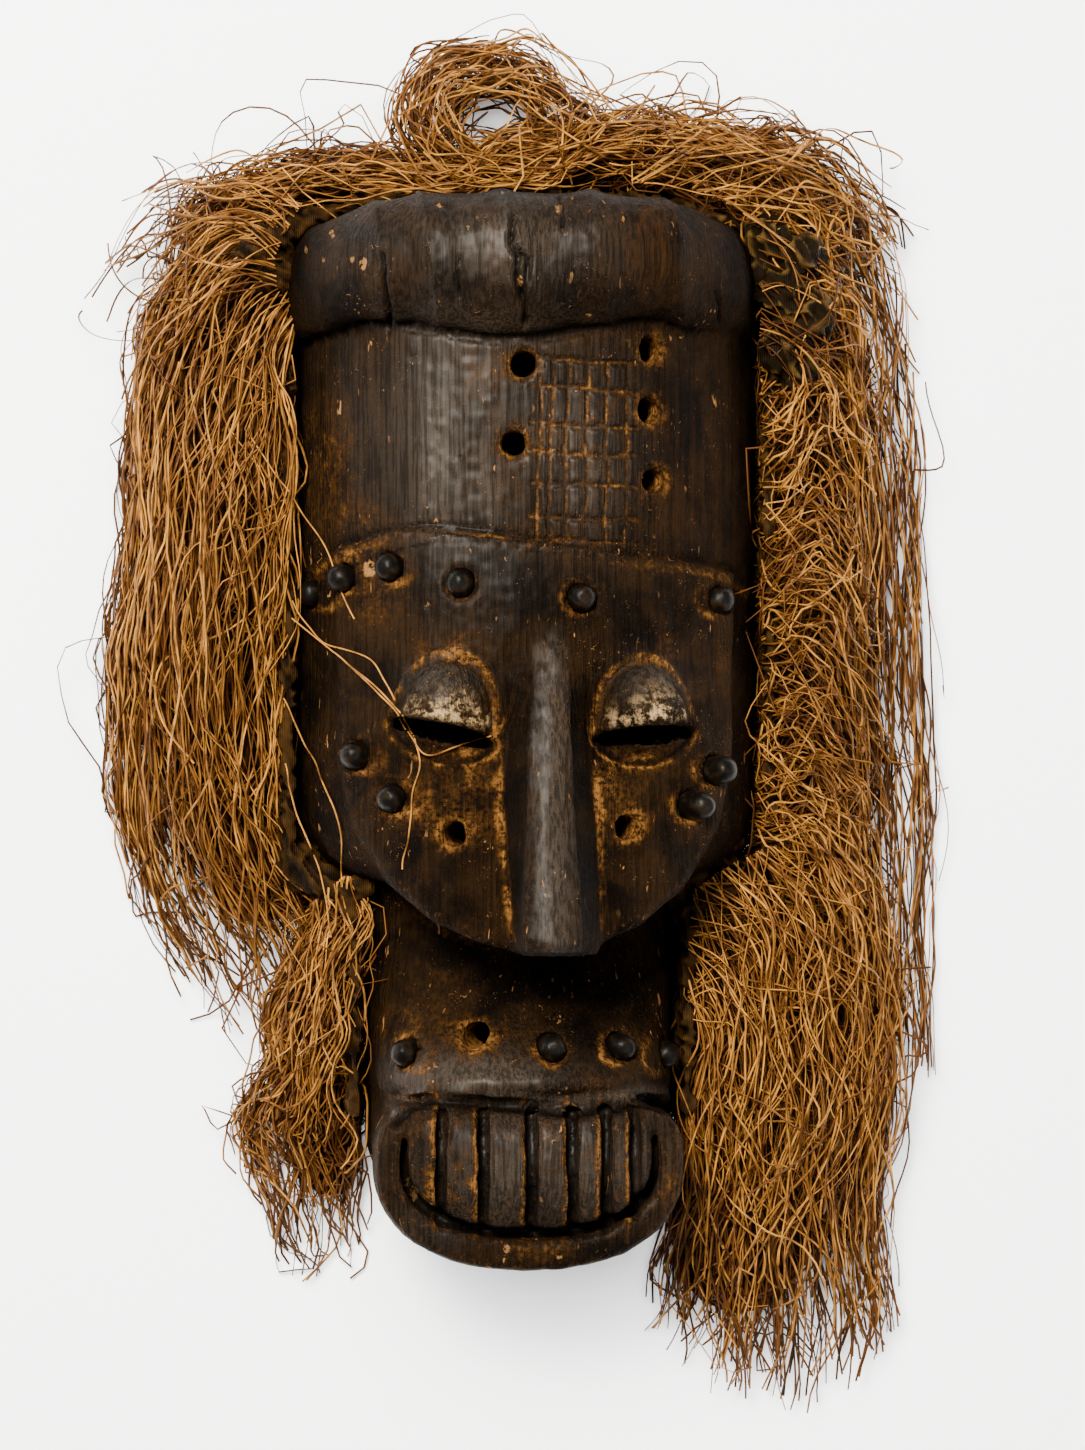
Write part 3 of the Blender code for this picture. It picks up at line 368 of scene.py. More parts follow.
lid_line = np.zeros(len(stock))
lid_dome = np.zeros(len(stock))
for ex, ey, wide, high, lean in EYES:
    lean = radians(lean)
    a = (x - ex) * cos(lean) + (y - ey) * sin(lean)
    b = (y - ey) * cos(lean) - (x - ex) * sin(lean)
    upper = np.hypot(a / wide, b / high)
    lower = np.hypot(a / wide, b / 13.5)
    above = rising(b, -2, 0) * front
    below = (1 - rising(b, -3, -1)) * front
    raised = np.exp(-(((upper - 1.03) / 0.038) ** 2)) * above
    cut += 0.9 * raised
    cut -= 1.1 * np.exp(-(((upper - 0.93) / 0.05) ** 2)) * above
    lid_line = np.maximum(lid_line, raised)
    lid_line = np.maximum(lid_line, 0.9 * np.exp(-(((lower - 1.12) / 0.06) ** 2)) * below)
    cut -= 1.2 * np.exp(-(((lower - 1.02) / 0.07) ** 2)) * below
    # Painted shade: the groove under the lower lid is painted dark.
    deep = np.maximum(deep, 0.7 * np.exp(-(((lower - 1.0) / 0.06) ** 2)) * below)
    lens = 3.7 * np.sqrt(np.maximum(0, 1 - (a / (0.97 * wide)) ** 2))
    hollow = rising(lens - np.abs(b + 2.9), -0.2, 1.2) * front
    cut -= 5.0 * hollow
    # Painted shade: the eye slit is painted black.
    deep = np.maximum(deep, hollow)
    lid_dome = np.maximum(lid_dome, (1 - rising(upper, 0.82, 0.97)) * rising(b, 0.6, 2.4) * front)

in_net = (rising(x, NET_LEFT - 2, NET_LEFT) * (1 - rising(x, NET_RIGHT, NET_RIGHT + 2))
          * rising(y, NET_BOTTOM - 2, NET_BOTTOM) * (1 - rising(y, NET_TOP, NET_TOP + 2)) * front)
net = np.zeros(len(stock))
net_line = np.zeros(len(stock))
for place in NET_COLUMNS:
    gap = np.abs(x - place - 1.6 * jitter - 0.8 * fine_jitter - 0.02 * (y - 325))
    top_row = np.where(y > NET_ROWS[0], 0.25, 1.0)
    net = np.maximum(net, top_row * np.exp(-((gap / NET_HALF_WIDTH) ** 2)))
    net_line = np.maximum(net_line, top_row * np.exp(-((gap / 0.75) ** 2)))
for place in NET_ROWS:
    gap = np.abs(y - place - 2.0 * jitter - 0.8 * fine_jitter + 0.04 * (x - 18))
    net = np.maximum(net, np.exp(-((gap / NET_HALF_WIDTH) ** 2)))
    net_line = np.maximum(net_line, np.exp(-((gap / 0.75) ** 2)))
net *= in_net
cut -= NET_DEPTH * net
net_earth = net_line * in_net * (0.55 + 0.45 * patchy)
# Painted shade: the net's grooves are painted darker beside their earth lines.
deep = np.maximum(deep, 0.4 * net * (1 - net_line))
split = np.zeros(len(stock))
for route, half_width, depth in CRACKS:
    gap = gap_to(route) + 0.9 * fine_jitter
    share = np.exp(-np.maximum(gap / half_width, 0) ** 2) * front
    cut -= depth * share
    split = np.maximum(split, share)
# Painted shade: the cracks are painted near black.
deep = np.maximum(deep, 0.9 * rising(split, 0.4, 0.9))

halo = np.zeros(len(stock))
for name in pegs:
    low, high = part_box(name)
    middle = ((low + high) / 2 - CHIN) * 1000
    away = np.hypot(x - middle.x, y - middle.y)
    lit_side = 0.55 - 0.45 * (0.6 * (x - middle.x) + 0.8 * (y - middle.y)) / np.maximum(away, 1)
    halo = np.maximum(halo, lit_side * np.exp(-(((away - 6.4) / 1.7) ** 2)))
HOLES = ((-6.3, 356.7), (-10.2, 325.7), (45.0, 363.3), (44.6, 339.3), (46.6, 311.4), (-34.4, 172.8),
         (34.8, 175.4), (-24.4, 92.3))
for hx, hy in HOLES:
    away = np.hypot(x - hx, y - hy)
    halo = np.maximum(halo, 0.7 * np.exp(-((np.maximum(away - 5.4, 0) / 1.9) ** 2)))
halo *= front

in_teeth = np.exp(-((x / 50) ** 6) - (((y - 42) / 27) ** 6)) * front
tooth_gap = np.zeros(len(stock))
tooth_edge = np.zeros(len(stock))
for gx in TOOTH_GROOVES:
    gap = x - gx - 1.2 * jitter
    tooth_gap = np.maximum(tooth_gap, np.exp(-((gap / 1.7) ** 2)) * in_teeth)
    tooth_edge = np.maximum(tooth_edge, np.exp(-(((gap + 2.3) / 1.3) ** 2)) * in_teeth)
cut -= 1.8 * tooth_gap
cut += 0.5 * (scoops(x, y, 4, 18, 14) - 0.3) * in_teeth
off_teeth = rising((np.abs(x) / 48.5) ** 2.3 + (np.abs(y - 45) / 26) ** 2.3, 0.80, 1.05)
lip_gap = rising(dip, 0.35, 1.2) * (1 - rising(y, 62, 70)) * front * off_teeth
# Painted shade: the tooth grooves and the groove round the teeth are painted dark.
deep = np.maximum(deep, np.maximum(tooth_gap * (1 - 0.95 * tooth_edge), 0.85 * lip_gap))
to_shelf = gap_to(SHELF_LINE)
cut += 1.4 * np.exp(-((to_shelf / 1.2) ** 2)) * front
below_shelf = gap_to([(px, py - 4.2) for px, py in SHELF_LINE])
cut -= 2.4 * np.exp(-((below_shelf / 2.0) ** 2)) * front
# Painted shadow: a dark band under the jaw's shelf.
deep = np.maximum(deep, np.exp(-((below_shelf / 1.9) ** 2)) * front)

creases = rising(dip, 0.15, 0.9) * front * (1 - deep)
brow_dirt = np.exp(-(((over_brow + 2.2) / 1.6) ** 2)) * rising(np.abs(x + 10), 30, 60) * across_face
nose_foot = np.exp(-(((x - foot_left + 1.2 * jitter) / 1.3) ** 2))
nose_foot += 0.55 * np.exp(-(((x - foot_right + 1.2 * jitter) / 1.1) ** 2))
nose_foot *= rising(y, 128, 140) * (1 - rising(y, 214, 226)) * front * rising(patchy, 0.22, 0.6)
earth = np.clip(0.75 * creases * (0.35 + soft_spots(EARTH)) + 0.66 * net_earth + 0.8 * halo * (0.45 + patchy)
                + 0.72 * soft_spots(EARTH) * (0.3 + patchy) + 0.6 * brow_dirt + 0.85 * nose_foot
                + 0.85 * lid_line * rising(patchy, 0.15, 0.75) + 1.8 * tooth_edge * (0.4 + patchy)
                + 0.35 * in_teeth * rising(patchy, 0.5, 0.8), 0, 1)
earth *= 1 - 0.8 * deep * (1 - 0.9 * tooth_edge)
# Painted shade: the patches above are painted near black too.
deep = np.maximum(deep, soft_spots(PAINTED_SHADE_SPOTS) * (0.6 + 0.5 * patchy) * front)
gloss_and_painted_sheen = soft_spots(GLOSS_AND_SHEEN_SPOTS)
# Painted highlight along the nose ridge.
ridge_middle = ridge_left + 0.58 * (ridge_right - ridge_left)
on_ridge = ridge * np.exp(-(((x - ridge_middle) / 8) ** 2))
gloss_and_painted_sheen = np.maximum(gloss_and_painted_sheen * (0.6 + 0.5 * speckle(here, (14, 30, 14), 15)), 0.85 * on_ridge)
# Painted highlight along the jaw's shelf.
gloss_and_painted_sheen = np.maximum(gloss_and_painted_sheen, 0.9 * np.exp(-((to_shelf / 2.2) ** 2))) * front
chips = soft_spots(CHIPS) * front
cut -= 0.5 * np.minimum(chips, 1)
set_points(shell.data, stock + out * (cut / 1000)[:, None])

keep_values(shell.data, "earth", earth)
keep_values(shell.data, "worn_edge", rising(-dip, 0.12, 0.8) * front)
keep_values(shell.data, "rubbed_gloss_and_painted_sheen", gloss_and_painted_sheen)
keep_values(shell.data, "bare", soft_spots(BARE) * front)
keep_values(shell.data, "clay", soft_spots(CLAY) * lid_dome)
# The painted shade on the wood, 0 to 1.
keep_values(shell.data, "painted_shade", deep)
keep_values(shell.data, "chips", chips)
seen = shell.vertex_groups.new(name="seen")
for share, chosen in ((0.12, front > 0.5), (1.0, front <= 0.5)):
    seen.add([int(i) for i in np.flatnonzero(chosen)], share, "REPLACE")
with_modifier(shell, "DECIMATE", ratio=min(1, SHELL_TRIANGLES / (2 * len(shell.data.polygons))),
              vertex_group="seen", vertex_group_factor=1.0)
shell.data.polygons.foreach_set("use_smooth", [True] * len(shell.data.polygons))


def node_maker(material_or_group):
    """Short ways to add and join the nodes of one tree."""
    tree = material_or_group.node_tree if hasattr(material_or_group, "node_tree") else material_or_group

    def add(kind, inputs=None, **values):
        node = tree.nodes.new(kind)
        for key, value in values.items():
            setattr(node, key, value)
        for key, value in (inputs or {}).items():
            socket = node.inputs[key]
            if isinstance(value, bpy.types.NodeSocket):
                tree.links.new(value, socket)
            else:
                socket.default_value = value
        return node

    return tree, add


def new_material(name):
    material = bpy.data.materials.new(name)
    material.use_nodes = True
    tree, add = node_maker(material)
    return material, add, tree.nodes["Principled BSDF"], tree


def mixed(add, share, low, high, how="MIX"):
    """Colour low where share is 0, colour high where it is 1."""
    node = add("ShaderNodeMix", data_type="RGBA", blend_type=how)
    for index, value in ((0, share), (6, low), (7, high)):
        if isinstance(value, bpy.types.NodeSocket):
            node.id_data.links.new(value, node.inputs[index])
        else:
            node.inputs[index].default_value = value
    return node.outputs[2]


def ramped(add, value, low, high, to_low=0.0, to_high=1.0):
    node = add("ShaderNodeMapRange", {"Value": value, "From Min": low, "From Max": high,
                                      "To Min": to_low, "To Max": to_high},
               interpolation_type="SMOOTHSTEP")
    return node.outputs["Result"]


def sums(add, operation, a, b):
    node = add("ShaderNodeMath", operation=operation)
    for index, value in enumerate((a, b)):
        if isinstance(value, bpy.types.NodeSocket):
            node.id_data.links.new(value, node.inputs[index])
        else:
            node.inputs[index].default_value = value
    return node.outputs[0]


def mask(add, name):
    return add("ShaderNodeAttribute", attribute_name=name).outputs["Fac"]


def rgba(red, green, blue):
    return (red, green, blue, 1.0)


blackened_wood, add, shader, tree = new_material("blackened_wood")
place = add("ShaderNodeTexCoord").outputs["Object"]
along_grain = add("ShaderNodeMapping", {"Vector": place, "Scale": (1.0, 0.035, 1.0)}).outputs["Vector"]


def noise(where, scale, detail=3.0, rough=0.55, warp=0.0):
    node = add("ShaderNodeTexNoise", {"Vector": where, "Scale": scale, "Detail": detail,
                                      "Roughness": rough, "Distortion": warp})
    return node.outputs["Fac"]


grain = noise(along_grain, 760, 2, 0.6)
strokes = ramped(add, grain, 0.36, 0.64)
blotch = noise(place, 42, 5, 0.65, 0.4)
crumbs = noise(place, 430, 5, 0.7)
streaks = noise(along_grain, 260, 4, 0.7)
crackle = add("ShaderNodeTexVoronoi", {"Vector": place, "Scale": 520, "Randomness": 1.0},
              feature="DISTANCE_TO_EDGE").outputs["Distance"]
flecks = noise(place, 640, 2, 0.6, 1.8)
scars = noise(add("ShaderNodeMapping", {"Vector": place, "Rotation": (0, 0, -0.3), "Scale": (1.0, 0.3, 1.0)}
                  ).outputs["Vector"], 330, 1.0, 0.5, 0.8)

EARTH_DARK = rgba(0.062, 0.0260, 0.0056)
EARTH_LIGHT = rgba(0.290, 0.130, 0.0310)
BLACK_LOW = rgba(0.0038, 0.0020, 0.0010)
BLACK_HIGH = rgba(0.0215, 0.0103, 0.0031)
PAINTED_SHEEN_GREY = rgba(0.050, 0.0380, 0.0280)
PORE_AND_SHADE_BLACK = rgba(0.0012, 0.0008, 0.0005)
BARE_WOOD = rgba(0.042, 0.0165, 0.0046)
EDGE_WOOD = rgba(0.110, 0.046, 0.014)
NICK_WOOD = rgba(0.36, 0.180, 0.062)
OLD_CLAY = rgba(0.60, 0.41, 0.210)
base = mixed(add, ramped(add, blotch, 0.35, 0.65), BLACK_LOW, BLACK_HIGH)
# The sheen is painted: a lighter grey mixed into the colour. The same mask also lowers roughness and adds a
# coat.
painted_sheen_share = sums(add, "MULTIPLY", mask(add, "rubbed_gloss_and_painted_sheen"), ramped(add, strokes, 0.0, 1.0, 0.7, 1.0))
base = mixed(add, painted_sheen_share, base, PAINTED_SHEEN_GREY)
bare = sums(add, "MULTIPLY", mask(add, "bare"), ramped(add, streaks, 0.46, 0.62))
pores = sums(add, "MULTIPLY", ramped(add, grain, 0.50, 0.40), 0.45)
base = mixed(add, pores, base, PORE_AND_SHADE_BLACK)
base = mixed(add, bare, base, BARE_WOOD)
earth_share = sums(add, "MULTIPLY", mask(add, "earth"), ramped(add, crumbs, 0.30, 0.62, 0.15, 1.1))
earth_share = sums(add, "MULTIPLY", earth_share, ramped(add, strokes, 0.0, 1.0, 0.8, 1.0))
earth_colour = mixed(add, ramped(add, earth_share, 0.35, 1.0), EARTH_DARK, EARTH_LIGHT)
base = mixed(add, ramped(add, earth_share, 0.08, 0.55), base, earth_colour)
edge = sums(add, "MULTIPLY", mask(add, "worn_edge"), ramped(add, crumbs, 0.52, 0.66))
base = mixed(add, sums(add, "MULTIPLY", edge, 0.5), base, EDGE_WOOD)
some = ramped(add, noise(place, 60, 2), 0.46, 0.62)
nick_share = sums(add, "MULTIPLY", ramped(add, flecks, 0.68, 0.71), some)
scar_share = sums(add, "MULTIPLY", ramped(add, scars, 0.715, 0.745), some)
nick_share = sums(add, "MAXIMUM", nick_share, scar_share)
ragged = sums(add, "MULTIPLY", mask(add, "chips"), ramped(add, crumbs, 0.35, 0.65, 0.3, 1.7))
chip_share = ramped(add, ragged, 0.42, 0.56)
nick_share = sums(add, "MAXIMUM", nick_share, sums(add, "MULTIPLY", chip_share, 0.9))
base = mixed(add, nick_share, base, NICK_WOOD)
clay = sums(add, "MULTIPLY", mask(add, "clay"), ramped(add, noise(place, 190, 6, 0.8), 0.46, 0.60))
base = mixed(add, clay, base, OLD_CLAY)
# Painted shade: where the painted_shade mask is high, the colour is painted near black.
base = mixed(add, sums(add, "MULTIPLY", mask(add, "painted_shade"), 0.92), base, PORE_AND_SHADE_BLACK)
tree.links.new(base, shader.inputs["Base Color"])
rough = ramped(add, crumbs, 0.3, 0.7, 0.52, 0.72)
rough = sums(add, "ADD", rough, sums(add, "MULTIPLY", earth_share, 0.3))
rough = sums(add, "SUBTRACT", rough, sums(add, "MULTIPLY", mask(add, "rubbed_gloss_and_painted_sheen"), 0.10))
tree.links.new(rough, shader.inputs["Roughness"])
shader.inputs["Specular IOR Level"].default_value = 0.035
gloss = sums(add, "MULTIPLY", mask(add, "rubbed_gloss_and_painted_sheen"), ramped(add, strokes, 0.0, 1.0, 0.19, 0.28))
tree.links.new(gloss, shader.inputs["Coat Weight"])
shader.inputs["Coat Roughness"].default_value = 0.38
relief = sums(add, "ADD", sums(add, "MULTIPLY", strokes, 0.75), sums(add, "MULTIPLY", crumbs, 0.9))
relief = sums(add, "ADD", relief, ramped(add, crackle, 0.0, 0.12, 0.0, 0.18))
relief = sums(add, "SUBTRACT", relief, sums(add, "MULTIPLY", nick_share, 0.5))
bump = add("ShaderNodeBump", {"Height": relief, "Strength": 1.0, "Distance": 0.0008})
tree.links.new(bump.outputs["Normal"], shader.inputs["Normal"])
shell.data.materials.clear()
shell.data.materials.append(blackened_wood)
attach(shell, "root")
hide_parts("mask_body")

# The pegs: short round dowels driven into bored holes, their heads whittled to a dome and
# blackened with the rest. Each stands where its hole was bored, a little off straight.
peg_wood, add, shader, tree = new_material("peg_wood")
place = add("ShaderNodeTexCoord").outputs["Object"]
mottle = add("ShaderNodeTexNoise", {"Vector": place, "Scale": 260, "Detail": 4}).outputs["Fac"]
base = mixed(add, ramped(add, mottle, 0.45, 0.75), rgba(0.003, 0.0022, 0.0016), rgba(0.018, 0.010, 0.0045))
shader.inputs["Specular IOR Level"].default_value = 0.13
tree.links.new(base, shader.inputs["Base Color"])
shader.inputs["Roughness"].default_value = 0.42
bump = add("ShaderNodeBump", {"Height": mottle, "Strength": 0.6, "Distance": 0.0006})
tree.links.new(bump.outputs["Normal"], shader.inputs["Normal"])
for name in pegs:
    peg = refined("peg_" + name[5:], [name], 0.0006)
    worn(peg.data, 0.6, 12, 3)
    peg_points = points_of(peg.data)
    lumps = speckle(peg_points, (0.0035, 0.0035, 0.0035), 21) - 0.5
    set_points(peg.data, peg_points + normals_of(peg.data) * (0.0006 * lumps)[:, None])
    with_modifier(peg, "DECIMATE", ratio=0.35)
    peg.data.polygons.foreach_set("use_smooth", [True] * len(peg.data.polygons))
    peg.data.materials.clear()
    peg.data.materials.append(peg_wood)
    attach(peg, "root")
    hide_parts(name)

# The band: a rope of twisted fibre and old cloth, tied round the sides and the top of the shell
# with a knot every thumb's width. The raffia hangs from it.
# The bundled cloth at the top right, then the knots at the top left, at the neck and along the jaw,
# each as (x, y, z) and (half width, half length, half height), in mm.
CLOTH_LUMPS = (
    ((96, 412, 48), (9, 11, 12)), ((109, 404, 50), (12, 10, 12)), ((101, 389, 54), (11, 12, 11)),
    ((113, 380, 51), (10, 13, 12)), ((101, 367, 53), (10, 12, 11)), ((109, 356, 49), (9, 10, 11)),
    ((92, 394, 40), (8, 16, 14)), ((-90, 420, 36), (12, 6, 12)), ((-103, 411, 46), (11, 7, 9)),
    ((-112, 402, 47), (8, 9, 8)), ((-103, 394, 46), (8, 8, 8)), ((-98, 400, 34), (7, 13, 14)),
    ((-97, 352, 30), (4, 26, 20)), ((-92, 160, 24), (11, 13, 20)),
    ((-82, 152, 32), (10, 7, 13)), ((-70, 150, 42), (9, 6, 8)), ((66, 158, 28), (11, 12, 22)),
    ((62, 142, 22), (8, 12, 20)), ((78, 164, 36), (12, 10, 14)), ((62, 120, 14), (6, 16, 14)),
    ((62, 92, 12), (5, 16, 12)), ((64, 66, 10), (5, 14, 10)),
)
band = refined("knotted_band", ["raffia_band"], 0.0011, CLOTH_LUMPS)
worn(band.data, 0.5, 12, 3)
band_points = points_of(band.data)
twist = 0.012 * speckle(band_points, (0.02, 0.02, 0.02), 33)
across_fold = np.stack([band_points[:, 0] + 0.7 * band_points[:, 1] + twist,
                        band_points[:, 1] - 0.7 * band_points[:, 0], band_points[:, 2]], axis=1)
folds = 1 - 2 * np.abs(speckle(across_fold, (0.0036, 0.010, 0.007), 31) - 0.5)
folds += 0.35 * (speckle(band_points, (0.0025, 0.0025, 0.002), 32) - 0.5)
folds = (folds - folds.min()) / (folds.max() - folds.min())
set_points(band.data, band_points + normals_of(band.data) * (0.0062 * (folds - 0.75))[:, None])
keep_values(band.data, "fold", folds)
band_plan = (band_points - np.array(CHIN)) * 1000
cloth_share = rising(band_plan[:, 0], 70, 80) * rising(band_plan[:, 1], 335, 350)
keep_values(band.data, "cloth", cloth_share * rising(band_plan[:, 2], 30, 44))
with_modifier(band, "DECIMATE", ratio=0.34)
band.data.polygons.foreach_set("use_smooth", [True] * len(band.data.polygons))
band_cloth, add, shader, tree = new_material("band_cloth")
place = add("ShaderNodeTexCoord").outputs["Object"]
soil = add("ShaderNodeTexNoise", {"Vector": place, "Scale": 240, "Detail": 5}).outputs["Fac"]
# Painted light on the folds: crests painted lighter as painted highlights and hollows darker as painted
# shade, in the rope and, brighter, in the olive cloth.
fold_light_share = ramped(add, mask(add, "fold"), 0.42, 0.95)
base = mixed(add, sums(add, "MULTIPLY", fold_light_share, ramped(add, soil, 0.3, 0.7, 0.5, 1.0)),
             rgba(0.0070, 0.0035, 0.0009), rgba(0.060, 0.028, 0.0060))
crest_highlight = ramped(add, mask(add, "fold"), 0.70, 0.97)
olive_with_crest_highlights = mixed(add, crest_highlight, rgba(0.0090, 0.0052, 0.0014), rgba(0.120, 0.066, 0.0170))
base = mixed(add, mask(add, "cloth"), base, olive_with_crest_highlights)
shader.inputs["Specular IOR Level"].default_value = 0.06
tree.links.new(base, shader.inputs["Base Color"])
shader.inputs["Roughness"].default_value = 0.6
threads = add("ShaderNodeTexWave", {"Vector": place, "Scale": 420, "Distortion": 3.0}).outputs["Fac"]
bump = add("ShaderNodeBump", {"Height": threads, "Strength": 0.5, "Distance": 0.0005})
tree.links.new(bump.outputs["Normal"], shader.inputs["Normal"])
band.data.materials.clear()
band.data.materials.append(band_cloth)
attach(band, "root")
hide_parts("raffia_band")

# The raffia: strips of palm leaf, dried and split by hand, tied on in hanks. Each hank is drawn
# strand by strand from a few lines laid across it, from its roots at the band to its tips, as
# (x, y, top) in millimetres from the chin. A strand runs through all the lines of its hank.


def lines_across(name, lines):
    """A curve object with one line across the hank for each place along it."""
    curve = bpy.data.curves.new(name, "CURVE")
    curve.dimensions = "3D"
    for line in lines:
        spline = curve.splines.new("POLY")
        spline.points.add(len(line) - 1)
        for point, (px, py, pz) in zip(spline.points, line):
            point.co = (CHIN.x + px / 1000, CHIN.y + py / 1000, pz / 1000, 1)
    obj = bpy.data.objects.new(name, curve)
    bpy.context.scene.collection.objects.link(obj)
    return obj


FRINGE_INPUTS = (
    ("Lines", "NodeSocketObject", None),
    ("Line Count", "NodeSocketInt", 5),
    ("Strands", "NodeSocketInt", 300),
    ("Thinning", "NodeSocketFloat", 1.0),
    ("Points", "NodeSocketInt", 24),
    ("Width", "NodeSocketFloat", 0.00115),
    ("Flatness", "NodeSocketFloat", 0.45),
    ("Wander", "NodeSocketFloat", 0.12),
    ("Lock Count", "NodeSocketFloat", 13.0),
    ("Lock Pull", "NodeSocketFloat", 0.55),
    ("Depth", "NodeSocketFloat", 0.65),
    ("Wave", "NodeSocketFloat", 0.006),
    ("Wave Size", "NodeSocketFloat", 22.0),
    ("Kink", "NodeSocketFloat", 0.003),
    ("Kink Size", "NodeSocketFloat", 70.0),
    ("Stray", "NodeSocketFloat", 5.0),
    ("Latest Start", "NodeSocketFloat", 0.0),
    ("Shortest", "NodeSocketFloat", 0.75),
    ("Longest", "NodeSocketFloat", 1.0),
    ("Seed", "NodeSocketInt", 1),
    ("Material", "NodeSocketMaterial", None),
)


def build_fringe():
    group = bpy.data.node_groups.new("Fringe", "GeometryNodeTree")
    group.interface.new_socket("Geometry", in_out="INPUT", socket_type="NodeSocketGeometry")
    for name, kind, value in FRINGE_INPUTS:
        socket = group.interface.new_socket(name, in_out="INPUT", socket_type=kind)
        if value is not None:
            socket.default_value = value
    group.interface.new_socket("Geometry", in_out="OUTPUT", socket_type="NodeSocketGeometry")
    tree, add = node_maker(group)
    given = add("NodeGroupInput").outputs
    out = add("NodeGroupOutput")

    def math(operation, *values):
        node = add("ShaderNodeMath", operation=operation)
        for index, value in enumerate(values):
            if isinstance(value, bpy.types.NodeSocket):
                tree.links.new(value, node.inputs[index])
            else:
                node.inputs[index].default_value = value
        return node.outputs[0]

    def vector(operation, *values, scale=None):
        node = add("ShaderNodeVectorMath", operation=operation)
        for index, value in enumerate(values):
            if isinstance(value, bpy.types.NodeSocket):
                tree.links.new(value, node.inputs[index])
            else:
                node.inputs[index].default_value = value
        if scale is not None:
            if isinstance(scale, bpy.types.NodeSocket):
                tree.links.new(scale, node.inputs["Scale"])
            else:
                node.inputs["Scale"].default_value = scale
        return node.outputs[0]

    def chance(number, low=0.0, high=1.0, of=None):
        node = add("FunctionNodeRandomValue", data_type="FLOAT")
        for key, value in (("Min", low), ("Max", high)):
            socket = [s for s in node.inputs if s.name == key and s.type == "VALUE"][0]
            if isinstance(value, bpy.types.NodeSocket):
                tree.links.new(value, socket)
            else:
                socket.default_value = value
        tree.links.new(of or strand, [s for s in node.inputs if s.name == "ID"][0])
        seed = math("ADD", math("MULTIPLY", given["Seed"], 41), number)
        tree.links.new(seed, node.inputs["Seed"])
        return [s for s in node.outputs if s.type == "VALUE"][0]

    rough = add("GeometryNodeCurvePrimitiveLine")
    rough = add("GeometryNodeResampleCurve", {"Curve": rough.outputs[0], "Count": given["Line Count"]})
    many = add("GeometryNodeDuplicateElements", {"Geometry": rough.outputs[0], "Amount": given["Strands"]},
               domain="SPLINE")
    named = add("GeometryNodeStoreNamedAttribute",
                {"Geometry": many.outputs["Geometry"], "Name": "strand",
                 "Value": many.outputs["Duplicate Index"]}, data_type="INT", domain="CURVE")
    strand = add("GeometryNodeInputNamedAttribute", {"Name": "strand"}, data_type="INT").outputs[0]
    step = add("GeometryNodeSplineParameter").outputs["Index"]
    along = add("GeometryNodeSplineParameter").outputs["Factor"]

    across = math("POWER", chance(1), given["Thinning"])
    lock = math("DIVIDE", math("ADD", math("ROUND", math("SUBTRACT", math("MULTIPLY", across,
                given["Lock Count"]), 0.5)), 0.5), given["Lock Count"])
    pull = math("MULTIPLY", given["Lock Pull"], math("SINE", math("MULTIPLY", along, 2.6)))
    held = math("ADD", across, math("MULTIPLY", math("SUBTRACT", lock, across), pull))
    each_step = math("ADD", math("MULTIPLY", strand, 17), step)
    drift = chance(2, -1.0, 1.0)
    jolt = chance(3, -1.0, 1.0, each_step)
    loose = math("ADD", 1.0, math("MULTIPLY", given["Stray"], math("POWER", chance(4), 14.0)))
    wander = math("MULTIPLY", given["Wander"], math("ADD", math("MULTIPLY", drift, along),
                  math("MULTIPLY", jolt, 0.42)))
    wander = math("MULTIPLY", wander, loose)
    place = math("ADD", held, wander)
    place = math("PINGPONG", math("ADD", place, 2.0), 1.0)
    sampled = add("GeometryNodeSampleCurve", mode="FACTOR", use_all_curves=False)
    info = add("GeometryNodeObjectInfo", {"Object": given["Lines"]}, transform_space="RELATIVE")
    tree.links.new(info.outputs["Geometry"], sampled.inputs["Curves"])
    tree.links.new(place, sampled.inputs["Factor"])
    tree.links.new(step, sampled.inputs["Curve Index"])
    top = sampled.outputs["Position"]
    layer = math("POWER", chance(5), 2.0)
    deep = math("SUBTRACT", 1.0, math("MULTIPLY", given["Depth"], math("SUBTRACT", 1.0, layer)))
    flat = add("ShaderNodeCombineXYZ", {"X": 1.0, "Y": 1.0, "Z": deep}).outputs[0]
    placed = add("GeometryNodeSetPosition", {"Geometry": named.outputs[0],
                                             "Position": vector("MULTIPLY", top, flat)})
    smooth = add("GeometryNodeCurveSplineType", {"Curve": placed.outputs[0]}, spline_type="CATMULL_ROM")
    smooth = add("GeometryNodeSetSplineResolution", {"Geometry": smooth.outputs[0], "Resolution": 8})
    begin = chance(6, 0.0, given["Latest Start"])
    length = chance(7, given["Shortest"], given["Longest"])
    trim = add("GeometryNodeTrimCurve", mode="FACTOR")
    tree.links.new(smooth.outputs[0], trim.inputs["Curve"])
    starts = [s for s in trim.inputs if s.name == "Start"]
    ends = [s for s in trim.inputs if s.name == "End"]
    tree.links.new(begin, starts[0])
    tree.links.new(math("MINIMUM", 1.0, math("ADD", begin, length)), ends[0])
    fine = add("GeometryNodeResampleCurve", {"Curve": trim.outputs[0], "Count": given["Points"]})

